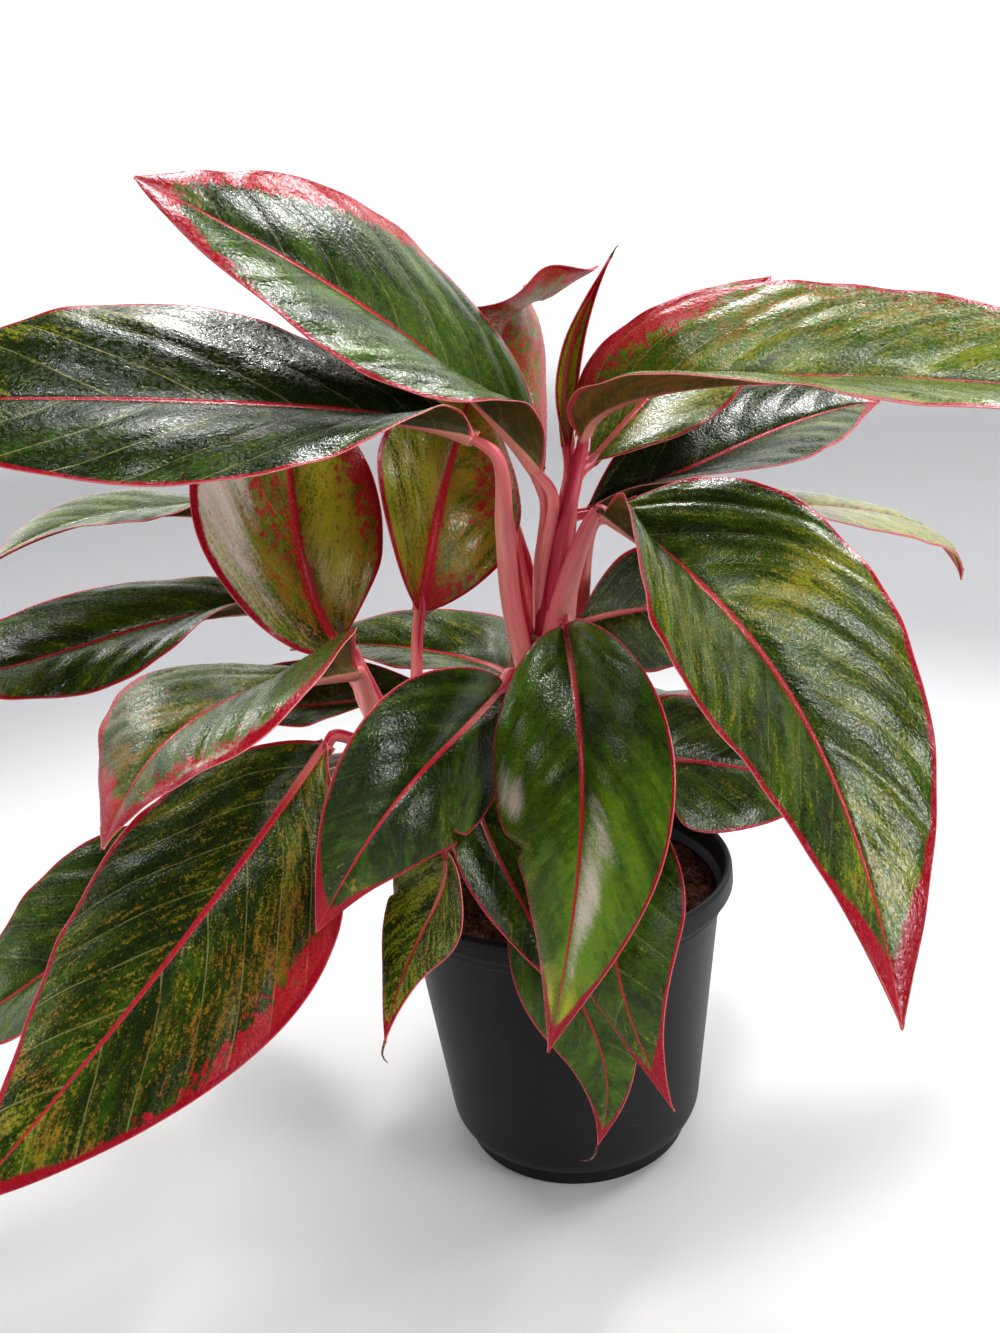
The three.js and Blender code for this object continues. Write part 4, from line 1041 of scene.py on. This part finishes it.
# The wax is crazed into short facets along the veins, pebbled by the cells and duller on some of
# them, so a highlight breaks into glints.
facets = speckle(tree, stretched(tree, way, (11, 0.3, 1)), 1.0, 2.0, 0.6)
pebbles = speckle(tree, stretched(tree, cells, (0.85, 0.85, 1)), 1.0, 2.0, 0.6)
satin = smooth_step(tree, speckle(tree, stretched(tree, way, (1.8, 0.06, 1)), 1.0, 2.0, 0.5), 0.4, 0.62)
dull_cells = smooth_step(tree, speckle(tree, cells, 1.0, 2.0, 0.7), 0.44, 0.54)
sheen = weighted(tree, 0.04, (facets, 0.1), (satin, 0.06), (dull_cells, 0.2))
tree.links.new(sheen, shader.inputs["Roughness"])
crazing = weighted(tree, 0, (facets, 0.3), (pebbles, 0.7))
tree.links.new(bump(tree, crazing, 0.8, 0.0003), shader.inputs["Normal"])

under_skin, tree, shader = new_finish("leaf_under", roughness=0.5, specular=0.3)
colour, way, cells = leaf_colours(tree, **UNDER_COLOURS)
tree.links.new(colour, shader.inputs["Base Color"])
pebbles = speckle(tree, stretched(tree, cells, (1.5, 1.5, 1)), 1.0, 2.0, 0.7)
tree.links.new(bump(tree, pebbles, 0.3, 0.0003), shader.inputs["Normal"])

for plan in LEAVES:
    corners, faces, upper_faces, marks = blade_mesh(plan)
    made = mesh_piece(f"blade_{plan['name']}", corners, faces, upper_skin)
    made.data.materials.append(under_skin)
    made.data.polygons.foreach_set("material_index", [0] * upper_faces + [1] * (len(faces) - upper_faces))
    for name, values in marks.items():
        store(made, name, values)
    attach(made, "root")
    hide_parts(f"leaf_{plan['name']}")

# ---------------------------------------------------------------- dry tips
# Three leaves end in a withered brown thread, and a few crumbs of dry sheath cling where the front
# right petiole meets its blade. They are dead tissue, thin and matt, and grow out of the blade.

SHEATH_CRUMBS = 7
SHEATH_CRUMBS_AT = np.array([19.5, -21.5, 250.5])
SHEATH_CRUMBS_SPREAD = 1.3
DRY_THREADS = {
    "spear_thread": [(29.3, -1, 330.6), (30.4, -1.2, 332.4), (31, -1.4, 333.6), (32.2, -1.6, 334.4)],
    "pot_left_thread": [(-62.6, -91.4, 101), (-63.8, -92.6, 98), (-63.6, -93.2, 96), (-62.4, -93.6, 94.5)],
    "pot_front_thread": [(3, -72.2, 39.6), (2, -73, 36.5), (-0.5, -74, 35.6), (-3.4, -74.6, 36.2)],
}

withered, tree, shader = new_finish("withered", roughness=0.85)
place = surface_point(tree)
tone = smooth_step(tree, speckle(tree, place, 900.0, 3.0), 0.4, 0.62)
shade = colour_mix(tree, tone, (0.05, 0.03, 0.02), (0.30, 0.14, 0.06))
tree.links.new(shade, shader.inputs["Base Color"])
tree.links.new(bump(tree, tone, 0.5, 0.0002), shader.inputs["Normal"])


def thread_section(share, turn):
    """A thread's uneven radius, thinner towards its end."""
    return (0.5 - 0.35 * share) * (1 + 0.25 * np.sin(3 * turn + 9 * share)), 0 * turn


corners, faces = [], []
for line in DRY_THREADS.values():
    more, more_faces, _ = stalk(line, (0, -1, 0), 8, thread_section)
    faces += [tuple(len(corners) + k for k in face) for face in more_faces]
    corners += more
for _ in range(SHEATH_CRUMBS):
    lump = crumb_shape * (0.5 + 0.7 * random.random()) * (0.6 + 0.8 * random.random((6, 1)))
    offset = SHEATH_CRUMBS_AT + random.normal(0, SHEATH_CRUMBS_SPREAD, 3)
    faces += [tuple(len(corners) + k for k in face) for face in crumb_faces]
    corners += (lump + offset).tolist()
dry_bits = mesh_piece("dry_tips", corners, faces, withered, smooth=False)
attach(dry_bits, "root")

# ---------------------------------------------------------------- studio
# A round white tent: a pale floor that curves up into a wall, which glows at the back. Its front is
# painted dark grey, a painted shade that stands in for a dark room, and the floor away from the
# plant is painted grey, as painted shade. Lamps hang above, in front, at the right and at the back
# left, and a panel stands at each side. The lamps named glint and sheen light no surface, and show
# only in the wax.

FLOOR_RADIUS = 1500
SWEEP_RADIUS = 900
SWEEP_STEPS = 12
WALL_HEIGHT = 1200
TENT_SIDES = 96
TENT_GLOW = 0.48
HIGH_RIGHT_GLOW = 0.7
ROOM_LIGHT = 0.07
LAMPS_FACE = (0, 0, 0.2)

paper, tree, shader = new_finish("white_tent", roughness=0.7)
place = surface_point(tree)
at = separated(tree, place)
shade = colour_mix(tree, speckle(tree, place, 3.0, 3.0), (0.61, 0.61, 0.61), (0.65, 0.65, 0.65))
out = add(tree, "ShaderNodeVectorMath", {0: place}, operation="LENGTH").outputs["Value"]
# Painted shade: the floor turns grey away from the plant.
far_floor_painted_shade = smooth_step(tree, out, 0.3, 0.8)
low_wall = smooth_step(tree, at["Z"], 0.05, 0.3)
off_floor = smooth_step(tree, at["Z"], 0.02, 0.7)
# Painted shade: the tent is dark grey in front, for the dark room behind the camera.
front = maths(tree, "MULTIPLY", smooth_step(tree, at["Y"], 1.6, -0.8), off_floor)
shade = colour_mix(tree, far_floor_painted_shade, shade, (0.30, 0.30, 0.312))
shade = colour_mix(tree, low_wall, shade, (0.86, 0.86, 0.87))
shade = colour_mix(tree, front, shade, (0.12, 0.12, 0.12))
tree.links.new(shade, shader.inputs["Base Color"])
shader.inputs["Emission Color"].default_value = (1, 1, 1, 1)
high = smooth_step(tree, at["Z"], 0.75, 1.1)
high_right = maths(tree, "MULTIPLY", high, smooth_step(tree, at["X"], -0.6, 0.6))
glow = weighted(tree, 0, (smooth_step(tree, at["Z"], 0.1, 0.6), TENT_GLOW), (high_right, HIGH_RIGHT_GLOW))
glow = maths(tree, "MULTIPLY", glow, smooth_step(tree, at["Y"], 0.5, 1.7))
tree.links.new(glow, shader.inputs["Emission Strength"])
wall = [(FLOOR_RADIUS * share, 0) for share in (0.1, 0.3, 0.6, 1)]
for i in range(1, SWEEP_STEPS + 1):
    angle = math.pi / 2 * i / SWEEP_STEPS
    wall.append((FLOOR_RADIUS + SWEEP_RADIUS * math.sin(angle), SWEEP_RADIUS * (1 - math.cos(angle))))
wall.append((FLOOR_RADIUS + SWEEP_RADIUS, SWEEP_RADIUS + WALL_HEIGHT))
corners = [(0, 0, 0)]
for radius, height in wall:
    corners += ring(radius, height, TENT_SIDES)
faces = [(0, 1 + k, 1 + (k + 1) % TENT_SIDES) for k in range(TENT_SIDES)]
faces += band_faces(1, len(wall), TENT_SIDES, inside_out=True)
tent = mesh_piece("tent", corners, faces, paper)


def lamp(name, place, size, power, lights_surfaces=True, shows_in_gloss=True):
    """A flat lamp, placed and sized in metres, that faces the middle of the plant. One that lights no
    surface shows only as a glint, and one that doesn't show in gloss only lights."""
    light = bpy.data.objects.new(name, bpy.data.lights.new(name, "AREA"))
    light.data.shape = "RECTANGLE"
    light.data.size, light.data.size_y = size
    light.data.energy = power
    light.visible_diffuse = lights_surfaces
    light.visible_glossy = shows_in_gloss
    light.location = place
    light.rotation_euler = (Vector(LAMPS_FACE) - Vector(place)).to_track_quat("-Z", "Y").to_euler()
    bpy.context.scene.collection.objects.link(light)


lamp("ceiling", (0.15, 1.1, 2.4), (1.1, 0.9), 14.5)
lamp("lamp_above", (0.42, 0.8, 2.26), (0.3, 0.3), 16)
lamp("lamp_front", (0.95, -1.05, 1.7), (0.7, 0.5), 16)
lamp("lamp_right", (1.42, 0.55, 1.8), (0.6, 0.6), 16)
lamp("lamp_left_back", (-1.2, 1.2, 1.35), (0.5, 0.5), 6)
lamp("fill_front", (0.5, -1.8, 1.0), (1.0, 0.7), 5)
# The left panel only lights: seen from the plant's right, its glare would turn a leaf white.
lamp("panel_left", (-1.5, -0.25, 0.8), (1.2, 1.1), 14, shows_in_gloss=False)
lamp("panel_right", (1.3, -0.7, 0.35), (0.25, 0.4), 5)
lamp("glint_above", (0.25, 0.85, 2.25), (0.5, 0.35), 10, False)
lamp("glint_high_right", (0.76, 0.4, 2.44), (0.3, 0.3), 9, False)
lamp("glint_high_front", (0.36, -0.98, 2.25), (0.4, 0.3), 9, False)
lamp("glint_right", (1.35, 0.6, 1.75), (0.35, 0.35), 8, False)
lamp("glint_left", (-1.46, -0.32, 0.6), (0.22, 0.3), 1.4, False)
lamp("sheen_left", (-1.4, 0.38, 1.7), (0.4, 0.4), 5, False)

world = bpy.data.worlds.new("room")
world.use_nodes = True
room_light = world.node_tree.nodes["Background"]
room_light.inputs["Color"].default_value = (1, 1, 1, 1)
room_light.inputs["Strength"].default_value = ROOM_LIGHT
bpy.context.scene.world = world
